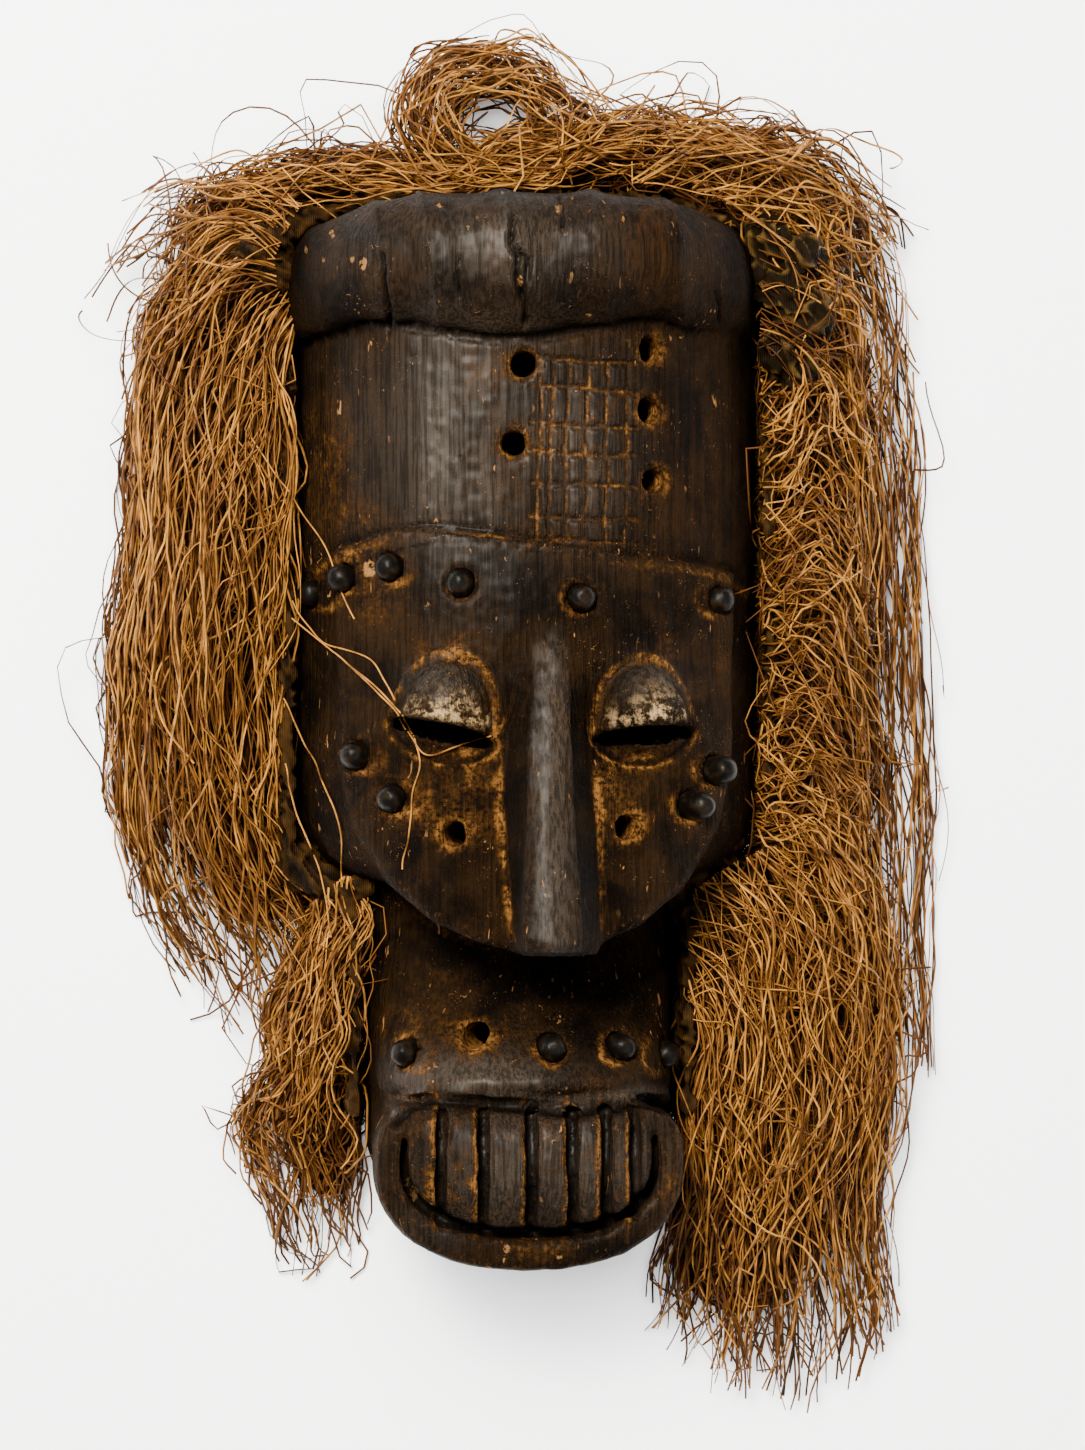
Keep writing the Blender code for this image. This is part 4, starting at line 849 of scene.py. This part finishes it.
    spot = add("GeometryNodeInputPosition").outputs[0]
    free = math("MINIMUM", 1.0, math("MULTIPLY", along, 5.0))
    wave_noise = add("ShaderNodeTexNoise", {"Vector": spot, "Scale": given["Wave Size"], "Detail": 1.0})
    wave = vector("SCALE", vector("SUBTRACT", wave_noise.outputs["Color"], (0.5, 0.5, 0.5)),
                  scale=math("MULTIPLY", given["Wave"], math("MULTIPLY", free, 2.0)))
    apart = add("ShaderNodeCombineXYZ", {"X": chance(8, 0, 40), "Y": chance(9, 0, 40),
                                         "Z": chance(10, 0, 40)}).outputs[0]
    kink_noise = add("ShaderNodeTexNoise", {"Vector": vector("ADD", spot, apart),
                                            "Scale": given["Kink Size"], "Detail": 1.0})
    amount = math("MULTIPLY", given["Kink"], math("MULTIPLY", free, math("MULTIPLY", loose, 2.0)))
    kink = vector("SCALE", vector("SUBTRACT", kink_noise.outputs["Color"], (0.5, 0.5, 0.5)), scale=amount)
    moved = vector("ADD", spot, vector("ADD", wave, kink))
    parts = add("ShaderNodeSeparateXYZ", {"Vector": moved})
    high = math("MAXIMUM", parts.outputs["Z"], math("ADD", given["Width"], math("MULTIPLY", layer, 0.004)))
    resting = add("ShaderNodeCombineXYZ", {"X": parts.outputs["X"], "Y": parts.outputs["Y"], "Z": high})
    shaken = add("GeometryNodeSetPosition", {"Geometry": fine.outputs[0], "Position": resting.outputs[0]})

    thick = chance(11, 0.6, 1.25)
    taper = math("SUBTRACT", 1.0, math("MULTIPLY", math("POWER", along, 3.0), 0.6))
    radius = add("GeometryNodeSetCurveRadius", {"Curve": shaken.outputs[0],
                                                "Radius": math("MULTIPLY", thick, taper)})
    tilt = math("ADD", chance(12, 0.0, 6.28), math("MULTIPLY", along, chance(13, -7.0, 7.0)))
    twisted = add("GeometryNodeSetCurveTilt", {"Curve": radius.outputs[0], "Tilt": tilt})
    # Each strand's tone mixes a random shade with painted shade: strands lower in the hank are painted
    # darker.
    shade = math("ADD", math("MULTIPLY", chance(14), 0.45), math("MULTIPLY", layer, 0.55))
    toned = add("GeometryNodeStoreNamedAttribute", {"Geometry": twisted.outputs[0], "Name": "tone",
                                                    "Value": shade}, data_type="FLOAT", domain="POINT")
    run = add("GeometryNodeStoreNamedAttribute", {"Geometry": toned.outputs[0], "Name": "along",
                                                  "Value": along}, data_type="FLOAT", domain="POINT")
    ring = add("GeometryNodeCurvePrimitiveCircle", {"Resolution": 3,
                                                    "Radius": math("MULTIPLY", given["Width"], 0.5)})
    shape = add("ShaderNodeCombineXYZ", {"X": 1.0, "Y": given["Flatness"], "Z": 1.0})
    strip = add("GeometryNodeTransform", {"Geometry": ring.outputs[0], "Scale": shape.outputs[0]})
    swept = add("GeometryNodeCurveToMesh", {"Curve": run.outputs[0], "Profile Curve": strip.outputs[0],
                                            "Fill Caps": True})
    soft = add("GeometryNodeSetShadeSmooth", {"Geometry": swept.outputs[0]})
    real = add("GeometryNodeRealizeInstances", {"Geometry": soft.outputs[0]})
    finish = add("GeometryNodeSetMaterial", {"Geometry": real.outputs[0], "Material": given["Material"]})
    tree.links.new(finish.outputs[0], out.inputs[0])
    return group


fringe = build_fringe()


def strands(name, lines, **sizes):
    """One hank's strands as a plain mesh. The sizes are the Fringe tree's inputs, by name."""
    guide = lines_across(name + "_lines", lines)
    piece = add_piece(name, bpy.data.meshes.new(name))
    modifier = piece.modifiers.new("Fringe", "NODES")
    modifier.node_group = fringe
    values = {"Lines": guide, "Line Count": len(lines), "Material": raffia_fibre, **sizes}
    for item in fringe.interface.items_tree:
        if item.in_out == "INPUT" and item.name in values:
            modifier[item.identifier] = values[item.name]
    piece.data = plain_mesh(piece)
    piece.modifiers.clear()
    bpy.data.objects.remove(guide)
    return piece


raffia_fibre, add, shader, tree = new_material("raffia_fibre")
place = add("ShaderNodeTexCoord").outputs["Object"]
tone = add("ShaderNodeAttribute", attribute_name="tone").outputs["Fac"]
streak = add("ShaderNodeTexNoise", {"Vector": place, "Scale": 120, "Detail": 3}).outputs["Fac"]
# The strand colour runs from near black, painted shade for the lowest strands, to bright tan for the top
# ones.
colours = add("ShaderNodeValToRGB", {"Fac": tone})
stops = colours.color_ramp.elements
stops[0].position, stops[0].color = 0.0, rgba(0.012, 0.0038, 0.0006)
stops[1].position, stops[1].color = 1.0, rgba(0.86, 0.40, 0.075)
middle = stops.new(0.5)
middle.color = rgba(0.135, 0.046, 0.0058)
base = mixed(add, ramped(add, streak, 0.35, 0.75), colours.outputs["Color"], rgba(0.100, 0.033, 0.0040))
tree.links.new(base, shader.inputs["Base Color"])
shader.inputs["Roughness"].default_value = 0.6
shader.inputs["Specular IOR Level"].default_value = 0.2

RAFFIA_LEFT = (
    ((-95, 372, 50), (-97, 390, 50), (-101, 406, 50), (-104, 414, 50), (-96, 422, 50)),
    ((-98, 347, 50), (-107, 371, 54), (-115, 388, 56), (-122, 402, 54), (-129, 416, 38)),
    ((-94, 314, 50), (-112, 329, 58), (-126, 343, 60), (-139, 360, 52), (-152, 384, 30)),
    ((-93, 270, 48), (-113, 275, 58), (-131, 281, 60), (-147, 291, 50), (-165, 314, 22)),
    ((-92, 221, 46), (-110, 221, 54), (-129, 223, 56), (-149, 231, 44), (-171, 250, 16)),
    ((-89, 173, 38), (-104, 171, 42), (-122, 169, 42), (-141, 173, 32), (-165, 190, 12)),
    ((-78, 138, 26), (-92, 124, 22), (-110, 118, 17), (-130, 122, 12), (-153, 146, 8)),
    ((-76, 108, 16), (-86, 88, 14), (-100, 78, 10), (-117, 82, 8), (-141, 110, 6)),
)
RAFFIA_LEFT_LOWER = (
    ((-69, 152, 48), (-74, 155, 50), (-81, 150, 46), (-88, 143, 38)),
    ((-67, 124, 48), (-75, 125, 50), (-84, 125, 44), (-92, 122, 30)),
    ((-66, 92, 48), (-76, 92, 46), (-90, 92, 38), (-108, 94, 22)),
    ((-65, 56, 34), (-77, 53, 34), (-94, 54, 26), (-119, 66, 12)),
    ((-64, 20, 14), (-75, 8, 14), (-90, 6, 10), (-116, 34, 7)),
    ((-66, 2, 7), (-76, -12, 7), (-88, -10, 7), (-108, 12, 6)),
)
RAFFIA_ROLL = (
    ((94, 372, 49), (94, 330, 49), (94, 282, 49), (94, 217, 49), (90, 165, 49)),
    ((104, 384, 57), (104, 345, 60), (104, 291, 60), (104, 226, 60), (101, 166, 57)),
    ((118, 410, 56), (118, 348, 61), (118, 282, 61), (118, 215, 61), (114, 153, 57)),
    ((131, 392, 44), (131, 326, 48), (131, 260, 48), (131, 193, 48), (129, 130, 46)),
    ((141, 365, 20), (143, 297, 22), (143, 228, 22), (143, 160, 22), (143, 101, 22)),
)
RAFFIA_VEIL = (
    ((79, 430, 58), (85, 438, 58), (92, 447, 54), (99, 453, 48)),
    ((112, 411, 54), (121, 421, 50), (128, 430, 44), (135, 439, 36)),
    ((131, 371, 44), (139, 380, 38), (148, 385, 30), (158, 389, 24)),
    ((134, 307, 34), (143, 315, 28), (152, 320, 22), (166, 324, 16)),
    ((134, 234, 32), (143, 238, 26), (153, 238, 20), (166, 234, 14)),
    ((136, 160, 32), (144, 160, 26), (152, 156, 20), (165, 151, 12)),
    ((142, 91, 30), (149, 86, 22), (158, 77, 14), (168, 69, 9)),
)
RAFFIA_SWATHE = (
    ((64, 99, 48), (64, 132, 49), (67, 149, 49), (82, 160, 54), (104, 169, 56), (131, 187, 40)),
    ((69, 80, 49), (74, 108, 53), (87, 127, 57), (104, 135, 58), (124, 139, 54), (140, 144, 34)),
    ((66, 51, 46), (79, 72, 53), (96, 89, 56), (113, 96, 55), (130, 100, 48), (147, 103, 28)),
    ((64, 22, 38), (76, 31, 46), (93, 44, 50), (114, 52, 50), (133, 55, 42), (150, 57, 22)),
    ((56, -4, 22), (73, -7, 34), (92, -4, 40), (114, 1, 40), (133, 3, 32), (148, 7, 16)),
    ((46, -30, 7), (68, -50, 10), (93, -63, 12), (117, -67, 12), (137, -57, 10), (153, -31, 7)),
)
RAFFIA_CROWN = (
    ((-134, 366, 40), (-143, 378, 34), (-152, 386, 20)),
    ((-126, 400, 44), (-134, 410, 38), (-144, 420, 24)),
    ((-112, 419, 50), (-118, 427, 48), (-125, 437, 28)),
    ((-80, 428, 52), (-83, 434, 50), (-84, 442, 34)),
    ((-40, 432, 54), (-41, 438, 54), (-40, 446, 36)),
    ((0, 432, 54), (-1, 442, 58), (0, 454, 38)),
    ((40, 432, 54), (41, 446, 60), (45, 465, 38)),
    ((76, 424, 54), (82, 440, 58), (90, 459, 36)),
    ((101, 407, 52), (114, 425, 54), (131, 442, 34)),
    ((113, 379, 50), (134, 400, 44), (155, 414, 26)),
)
# Short ends that fan out over the top left knot, and spikes that stand out at the top right.
RAFFIA_CORNER = (
    ((-92, 424, 56), (-98, 413, 60), (-103, 402, 60), (-102, 390, 58)),
    ((-110, 436, 56), (-122, 424, 60), (-128, 408, 60), (-124, 386, 58)),
    ((-130, 441, 42), (-148, 428, 46), (-153, 402, 46), (-144, 364, 48)),
    ((-142, 439, 16), (-166, 424, 18), (-172, 390, 18), (-158, 336, 34)),
)
RAFFIA_SPIKES = (
    ((40, 434, 58), (62, 432, 60), (82, 424, 60), (96, 408, 58)),
    ((64, 450, 54), (88, 444, 58), (106, 430, 58), (118, 404, 54)),
    ((96, 462, 36), (116, 452, 40), (134, 428, 42), (144, 392, 38)),
    ((122, 468, 14), (140, 452, 18), (156, 414, 20), (164, 364, 18)),
)
# The few strands that lie over the bundled cloth.
RAFFIA_OVER_CLOTH = (
    ((80, 428, 60), (90, 412, 64), (92, 392, 66), (91, 366, 62)),
    ((103, 418, 66), (109, 400, 68), (108, 378, 68), (103, 352, 64)),
    ((124, 404, 56), (129, 380, 60), (126, 352, 60), (118, 326, 60)),
    ((140, 374, 26), (142, 346, 36), (136, 318, 42), (128, 296, 50)),
)
LOOP_MIDDLE = (-11, 460, 52)
LOOP_TURNS = 9


def reaching(lines, inward, outward):
    """The same lines, drawn out at both ends by so many mm, for the loose strands of a hank."""
    drawn = []
    for line in lines:
        first, second, before, last = (Vector(line[i]) for i in (0, 1, -2, -1))
        start = first + (first - second).normalized() * inward
        end = last + (last - before).normalized() * outward
        drawn.append([tuple(start), *line[1:-1], (end.x, end.y, max(end.z, 4))])
    return drawn


def loop_lines():
    """Lines that point out from the loop's open middle, one every eighth of a turn and more."""
    lines = []
    cx, cy, cz = LOOP_MIDDLE
    for index in range(LOOP_TURNS + 1):
        turn = radians(-30 - 45 * index)
        inner, outer = 11, 32
        wide = 1.25
        lines.append([(cx + wide * r * cos(turn), cy + r * sin(turn), cz + 12 * sin(pi * t))
                      for t, r in ((0.0, inner), (0.5, (inner + outer) / 2), (1.0, outer))])
    return lines


def nearest_on(route, places):
    """The nearest place in plan to each given one, on a route of straight runs."""
    best = np.zeros_like(places)
    least = np.full(len(places), 1e9)
    for start, end in zip(np.array(route[:-1], float), np.array(route[1:], float)):
        run = end - start
        share = np.clip(((places - start) @ run) / (run @ run), 0, 1)
        spot = start + share[:, None] * run
        gap = np.hypot(*(places - spot).T)
        best = np.where((gap < least)[:, None], spot, best)
        least = np.minimum(gap, least)
    return best


def with_core(piece, nodes, shrink, edge):
    """Joins a dark, lumpy core under the strands as painted shade beneath them, smaller than the hank and
    drawn to the wood's edge.
    """
    core = refined("core", nodes, 0.003)
    worn(core.data, 2.0, 8, 2)
    points = points_of(core.data)
    inward = normals_of(core.data) * shrink
    tangle = 0.002 * (speckle(points, (0.004, 0.009, 0.004), 41) - 0.5)
    points = points - inward + normals_of(core.data) * tangle[:, None]
    plan = (points[:, :2] - np.array(CHIN)[:2]) * 1000
    plan = plan + 0.30 * (nearest_on(edge, plan) - plan)
    points[:, :2] = np.array(CHIN)[:2] + plan / 1000
    points[:, 2] = 0.001 + 0.55 * np.maximum(points[:, 2], 0)
    set_points(core.data, points)
    first = len(piece.data.vertices)
    points = np.vstack([points_of(piece.data), points_of(core.data)])
    faces = [list(p.vertices) for p in piece.data.polygons]
    split = len(faces)
    faces += [[first + i for i in p.vertices] for p in core.data.polygons]
    mesh = bpy.data.meshes.new(piece.name)
    mesh.from_pydata(points.tolist(), [], faces)
    mesh.polygons.foreach_set("use_smooth", [True] * len(faces))
    mesh.polygons.foreach_set("material_index", [0] * split + [1] * (len(faces) - split))
    for name in ("tone", "along"):
        old = np.empty(first, dtype=np.float32)
        piece.data.attributes[name].data.foreach_get("value", old)
        layer = mesh.attributes.new(name, "FLOAT", "POINT")
        in_core = np.zeros(len(points) - first, dtype=np.float32)
        layer.data.foreach_set("value", np.concatenate([old, in_core]))
    mesh.materials.append(raffia_fibre)
    mesh.materials.append(raffia_shade)
    piece.data = mesh
    bpy.data.objects.remove(core)
    return piece


# The core's material: painted shade, near black to dark brown.
raffia_shade, add, shader, tree = new_material("raffia_shade")
place = add("ShaderNodeTexCoord").outputs["Object"]
tangle_way = add("ShaderNodeMapping", {"Vector": place, "Scale": (1.0, 0.25, 1.0)}).outputs["Vector"]
base = mixed(add, ramped(add, noise(tangle_way, 420, 4), 0.45, 0.7), rgba(0.005, 0.0020, 0.0005),
             rgba(0.050, 0.018, 0.003))
tree.links.new(base, shader.inputs["Base Color"])
shader.inputs["Roughness"].default_value = 0.9
shader.inputs["Specular IOR Level"].default_value = 0.05

LONG_CURLS = {"Kink Size": 20.0, "Wave Size": 10.0}
LOOSE_CURLS = {"Kink Size": 14.0, "Wave Size": 8.0}
left = strands("raffia_left_strands", RAFFIA_LEFT, Strands=430, Thinning=1.45, Points=44, Wander=0.30,
               Seed=1, Stray=3.0, Shortest=0.60, Longest=1.0, Wave=0.014, Kink=0.010, Depth=0.8,
               **LONG_CURLS)
left_loose = strands("raffia_left_loose", reaching(RAFFIA_LEFT, 2, 3), Strands=120, Points=38, Wander=0.7,
                     Seed=11, Stray=1.2, Shortest=0.35, Longest=0.9, Wave=0.020, Kink=0.012, Depth=0.7,
                     **{"Latest Start": 0.25}, **LOOSE_CURLS)
left_lower = strands("raffia_left_lower_strands", RAFFIA_LEFT_LOWER, Strands=300, Points=30, Wander=0.5,
                     Wave=0.012, Kink=0.012, Seed=2, Shortest=0.35, Longest=1.0, **{"Kink Size": 30.0})
roll = strands("raffia_roll_strands", RAFFIA_ROLL, Strands=900, Thinning=1.15, Points=20, Wander=0.12,
               Kink=0.014, Seed=3, Shortest=0.35, Longest=1.0, Wave=0.012, Depth=0.7,
               **{"Kink Size": 32.0, "Wave Size": 22.0})
veil = strands("raffia_veil_strands", reaching(RAFFIA_VEIL, 6, 1), Strands=115, Thinning=1.5, Points=38,
               Wander=0.6, Seed=4, Wave=0.012, Shortest=0.3, Longest=0.95, Kink=0.010,
               **{"Latest Start": 0.45}, **LOOSE_CURLS)
swathe = strands("raffia_swathe_strands", RAFFIA_SWATHE, Strands=620, Points=36, Wander=0.24, Seed=5,
                 Shortest=0.55, Longest=1.0, Wave=0.012, Kink=0.009, Depth=0.8, **LONG_CURLS)
swathe_loose = strands("raffia_swathe_loose", reaching(RAFFIA_SWATHE, 4, 9), Strands=120, Points=32,
                       Wander=0.6, Seed=15, Shortest=0.4, Longest=1.0, Wave=0.018, Kink=0.014,
                       **LOOSE_CURLS)
crown = strands("raffia_crown_strands", RAFFIA_CROWN, Strands=430, Points=26, Wander=0.6, Seed=6,
                Kink=0.016, Shortest=0.2, Longest=0.5, Wave=0.016,
                **{"Latest Start": 0.7, "Kink Size": 24.0})
crown_loose = strands("raffia_crown_loose", reaching(RAFFIA_CROWN, 2, 6), Strands=130, Points=26,
                      Wander=0.9, Seed=16, Kink=0.018, Stray=3.0, Shortest=0.15, Longest=0.35, Wave=0.020,
                      **{"Latest Start": 0.8, "Kink Size": 18.0})
corner = strands("raffia_corner_strands", RAFFIA_CORNER, Strands=80, Points=30, Wander=0.45, Seed=8,
                 Kink=0.012, Wave=0.016, Shortest=0.4, Longest=1.0, Depth=0.5, **LOOSE_CURLS)
spikes = strands("raffia_spike_strands", RAFFIA_SPIKES, Strands=110, Thinning=0.7, Points=30,
                 Wander=0.4, Seed=9, Kink=0.012, Wave=0.014, Shortest=0.35, Longest=1.0, Depth=0.5,
                 **LOOSE_CURLS)
over_cloth = strands("raffia_over_cloth", RAFFIA_OVER_CLOTH, Strands=22, Points=26, Wander=0.4, Seed=10,
                     Kink=0.010, Wave=0.012, Shortest=0.3, Longest=1.0, Depth=0.04, **LOOSE_CURLS)
loop = strands("raffia_loop_strands", loop_lines(), Strands=160, Points=36, Wander=0.6, Seed=7, Wave=0.014,
               Kink=0.014, Stray=2.5, Shortest=0.25, Longest=0.8, **{"Latest Start": 0.5, "Kink Size": 24.0})
left = with_core(left, ["raffia_left"], 0.004, ((-98, 400), (-98, 200)))
left_lower = with_core(left_lower, ["raffia_left_lower"], 0.003, ((-64, 160), (-64, 62)))
roll = with_core(roll, ["raffia_right"], 0.004, ((94, 400), (94, 172), (62, 150), (62, 40)))
crown = with_core(crown, ["raffia_crown"], 0.003, ((-96, 412), (-60, 424), (60, 424), (96, 404)))
for piece, node in ((left, "raffia_left"), (left_loose, None), (left_lower, "raffia_left_lower"),
                    (roll, "raffia_right"), (veil, None), (swathe, None), (swathe_loose, None),
                    (crown, "raffia_crown"), (crown_loose, None), (corner, None), (spikes, None),
                    (over_cloth, None), (loop, "raffia_knot")):
    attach(piece, "root")
    if node:
        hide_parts(node)

# A few strands have strayed from the left hank across the brow, the cheek and the eye. Each lies
# on the wood where it crosses it.
STRAYED = (
    ((-112, 330), (-98, 309), (-83, 287), (-76, 265), (-72, 257)),
    ((-96, 265), (-84, 249), (-66, 241), (-57, 225)),
    ((-96, 258), (-75, 240), (-55, 219), (-46, 204), (-33, 207), (-19, 211)),
    ((-75, 240), (-60, 226), (-47, 205), (-50, 186), (-53, 159)),
    ((-100, 226), (-87, 201), (-77, 174), (-75, 146), (-71, 133)),
    ((-99, 200), (-93, 178), (-84, 155), (-80, 130)),
)
STRAY_HALF_WIDTH = 0.00032


def laid_on_wood(route, seed):
    """A smooth run of points through a plan route, just over the wood or the hank beside it."""
    plan = np.array([route[0], *route, route[-1]], dtype=float)
    run = []
    for i in range(1, len(plan) - 2):
        p0, p1, p2, p3 = plan[i - 1:i + 3]
        for t in np.linspace(0, 1, 14, endpoint=i == len(plan) - 3):
            run.append(0.5 * (2 * p1 + (p2 - p0) * t + (2 * p0 - 5 * p1 + 4 * p2 - p3) * t * t
                              + (3 * p1 - p0 - 3 * p2 + p3) * t ** 3))
    run = np.array(run)
    lean = speckle(np.c_[run, np.full(len(run), seed * 31.0)], (9, 9, 9), seed) - 0.5
    run[:, 0] += 2.2 * lean
    heights = []
    for px, py in run:
        hit = wood_tree.ray_cast(CHIN + Vector((px / 1000, py / 1000, 0.3)), Vector((0, 0, -1)))[0]
        heights.append(hit.z if hit else 0.045)
    heights = np.maximum(np.array(heights) + 0.0012, np.where(run[:, 0] < -88, 0.055, 0.0))
    smooth = np.convolve(np.pad(heights, 3, mode="edge"), np.ones(7) / 7, mode="valid")
    heights = np.maximum(heights, smooth)
    return [CHIN + Vector((px / 1000, py / 1000, pz)) for (px, py), pz in zip(run, heights)]


wood_tree = BVHTree.FromObject(shell, bpy.context.evaluated_depsgraph_get())
strayed_curve = bpy.data.curves.new("raffia_over_face", "CURVE")
strayed_curve.dimensions = "3D"
strayed_curve.bevel_depth = STRAY_HALF_WIDTH
strayed_curve.bevel_resolution = 1
strayed_curve.use_fill_caps = True
for seed, route in enumerate(STRAYED):
    spline = strayed_curve.splines.new("POLY")
    run = laid_on_wood(route, seed + 1)
    spline.points.add(len(run) - 1)
    for point, spot in zip(spline.points, run):
        point.co = (*spot, 1)
strayed_guide = add_piece("strayed_guide", strayed_curve)
strayed = add_piece("raffia_over_face", plain_mesh(strayed_guide))
bpy.data.objects.remove(strayed_guide)
keep_values(strayed.data, "tone", np.full(len(strayed.data.vertices), 0.85))
strayed.data.materials.clear()
strayed.data.materials.append(raffia_fibre)
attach(strayed, "root")

# The floor, the light and the camera: a pale studio table, one soft key light from the upper left
# and a camera that looks straight down on the mask, a little from its left.
FLOOR_SIZE = 6.0
CAMERA_HEIGHT = 1.84
CAMERA_TILT = radians(4)
LOOK_AT = Vector((0.004, 0.2153, 0.060))
FRAME_HEIGHT_AT_UNIT = 1450 / 4600

floor_mesh = bpy.data.meshes.new("studio_floor")
half = FLOOR_SIZE / 2
floor_mesh.from_pydata([(-half, -half, 0), (half, -half, 0), (half, half, 0), (-half, half, 0)], [],
                       [(0, 1, 2, 3)])
floor = add_piece("studio_floor", floor_mesh)
floor_paint, add, shader, tree = new_material("floor_paint")
shader.inputs["Base Color"].default_value = rgba(0.95, 0.95, 0.95)
shader.inputs["Roughness"].default_value = 0.9
shader.inputs["Specular IOR Level"].default_value = 0.0
floor.data.materials.append(floor_paint)
# A near-black sheet lies on the table inside the mask's open back as painted shade, so its holes and eyes
# look dark.
SHADE_SHEET_OUTLINE = ((-46, 60), (46, 60), (46, 190), (72, 200), (72, 396), (-72, 396), (-72, 200), (-46, 190))
shade_sheet_mesh = bpy.data.meshes.new("dark_cloth")
shade_sheet_mesh.from_pydata([CHIN + Vector((px / 1000, py / 1000, 0.0006)) for px, py in SHADE_SHEET_OUTLINE], [],
                       [tuple(range(len(SHADE_SHEET_OUTLINE)))])
dark_cloth = add_piece("dark_cloth", shade_sheet_mesh)
shade_sheet_paint, add, shader, tree = new_material("dark_cloth")
shader.inputs["Base Color"].default_value = rgba(0.002, 0.002, 0.002)
shader.inputs["Roughness"].default_value = 1.0
shader.inputs["Specular IOR Level"].default_value = 0.0
dark_cloth.data.materials.append(shade_sheet_paint)


def soft_light(name, place, aim, size, power, colour=(1, 1, 1)):
    light = bpy.data.lights.new(name, "AREA")
    light.shape = "DISK"
    light.size = size
    light.energy = power
    light.color = colour
    obj = bpy.data.objects.new(name, light)
    obj.location = place
    obj.rotation_euler = (Vector(aim) - Vector(place)).to_track_quat("-Z", "Y").to_euler()
    bpy.context.scene.collection.objects.link(obj)
    return obj


soft_light("key", (-0.60, 0.85, 1.95), (0, 0, 0), 0.75, 118, (1.0, 0.93, 0.82))
soft_light("fill", (1.4, -0.6, 1.8), (0, 0, 0), 1.6, 16)
table_light = soft_light("table_light", (-0.5, 0.8, 2.4), (0, 0, 0), 2.6, 390, (0.975, 0.99, 1.0))
lit_table = bpy.data.collections.new("lit_table")
lit_table.objects.link(floor)
table_light.light_linking.receiver_collection = lit_table
world = bpy.data.worlds.new("studio")
world.use_nodes = True
world.node_tree.nodes["Background"].inputs["Color"].default_value = rgba(1.0, 0.95, 0.88)
world.node_tree.nodes["Background"].inputs["Strength"].default_value = 0.20
bpy.context.scene.world = world

camera_data = bpy.data.cameras.new("camera")
camera_data.sensor_fit = "VERTICAL"
camera_data.sensor_height = 36
camera_data.lens = 36 / FRAME_HEIGHT_AT_UNIT
camera = bpy.data.objects.new("camera", camera_data)
target = CHIN + LOOK_AT
camera.location = target + CAMERA_HEIGHT * Vector((-sin(CAMERA_TILT), 0, cos(CAMERA_TILT)))
camera.rotation_euler = (0, -CAMERA_TILT, 0)
bpy.context.scene.collection.objects.link(camera)
bpy.context.scene.camera = camera
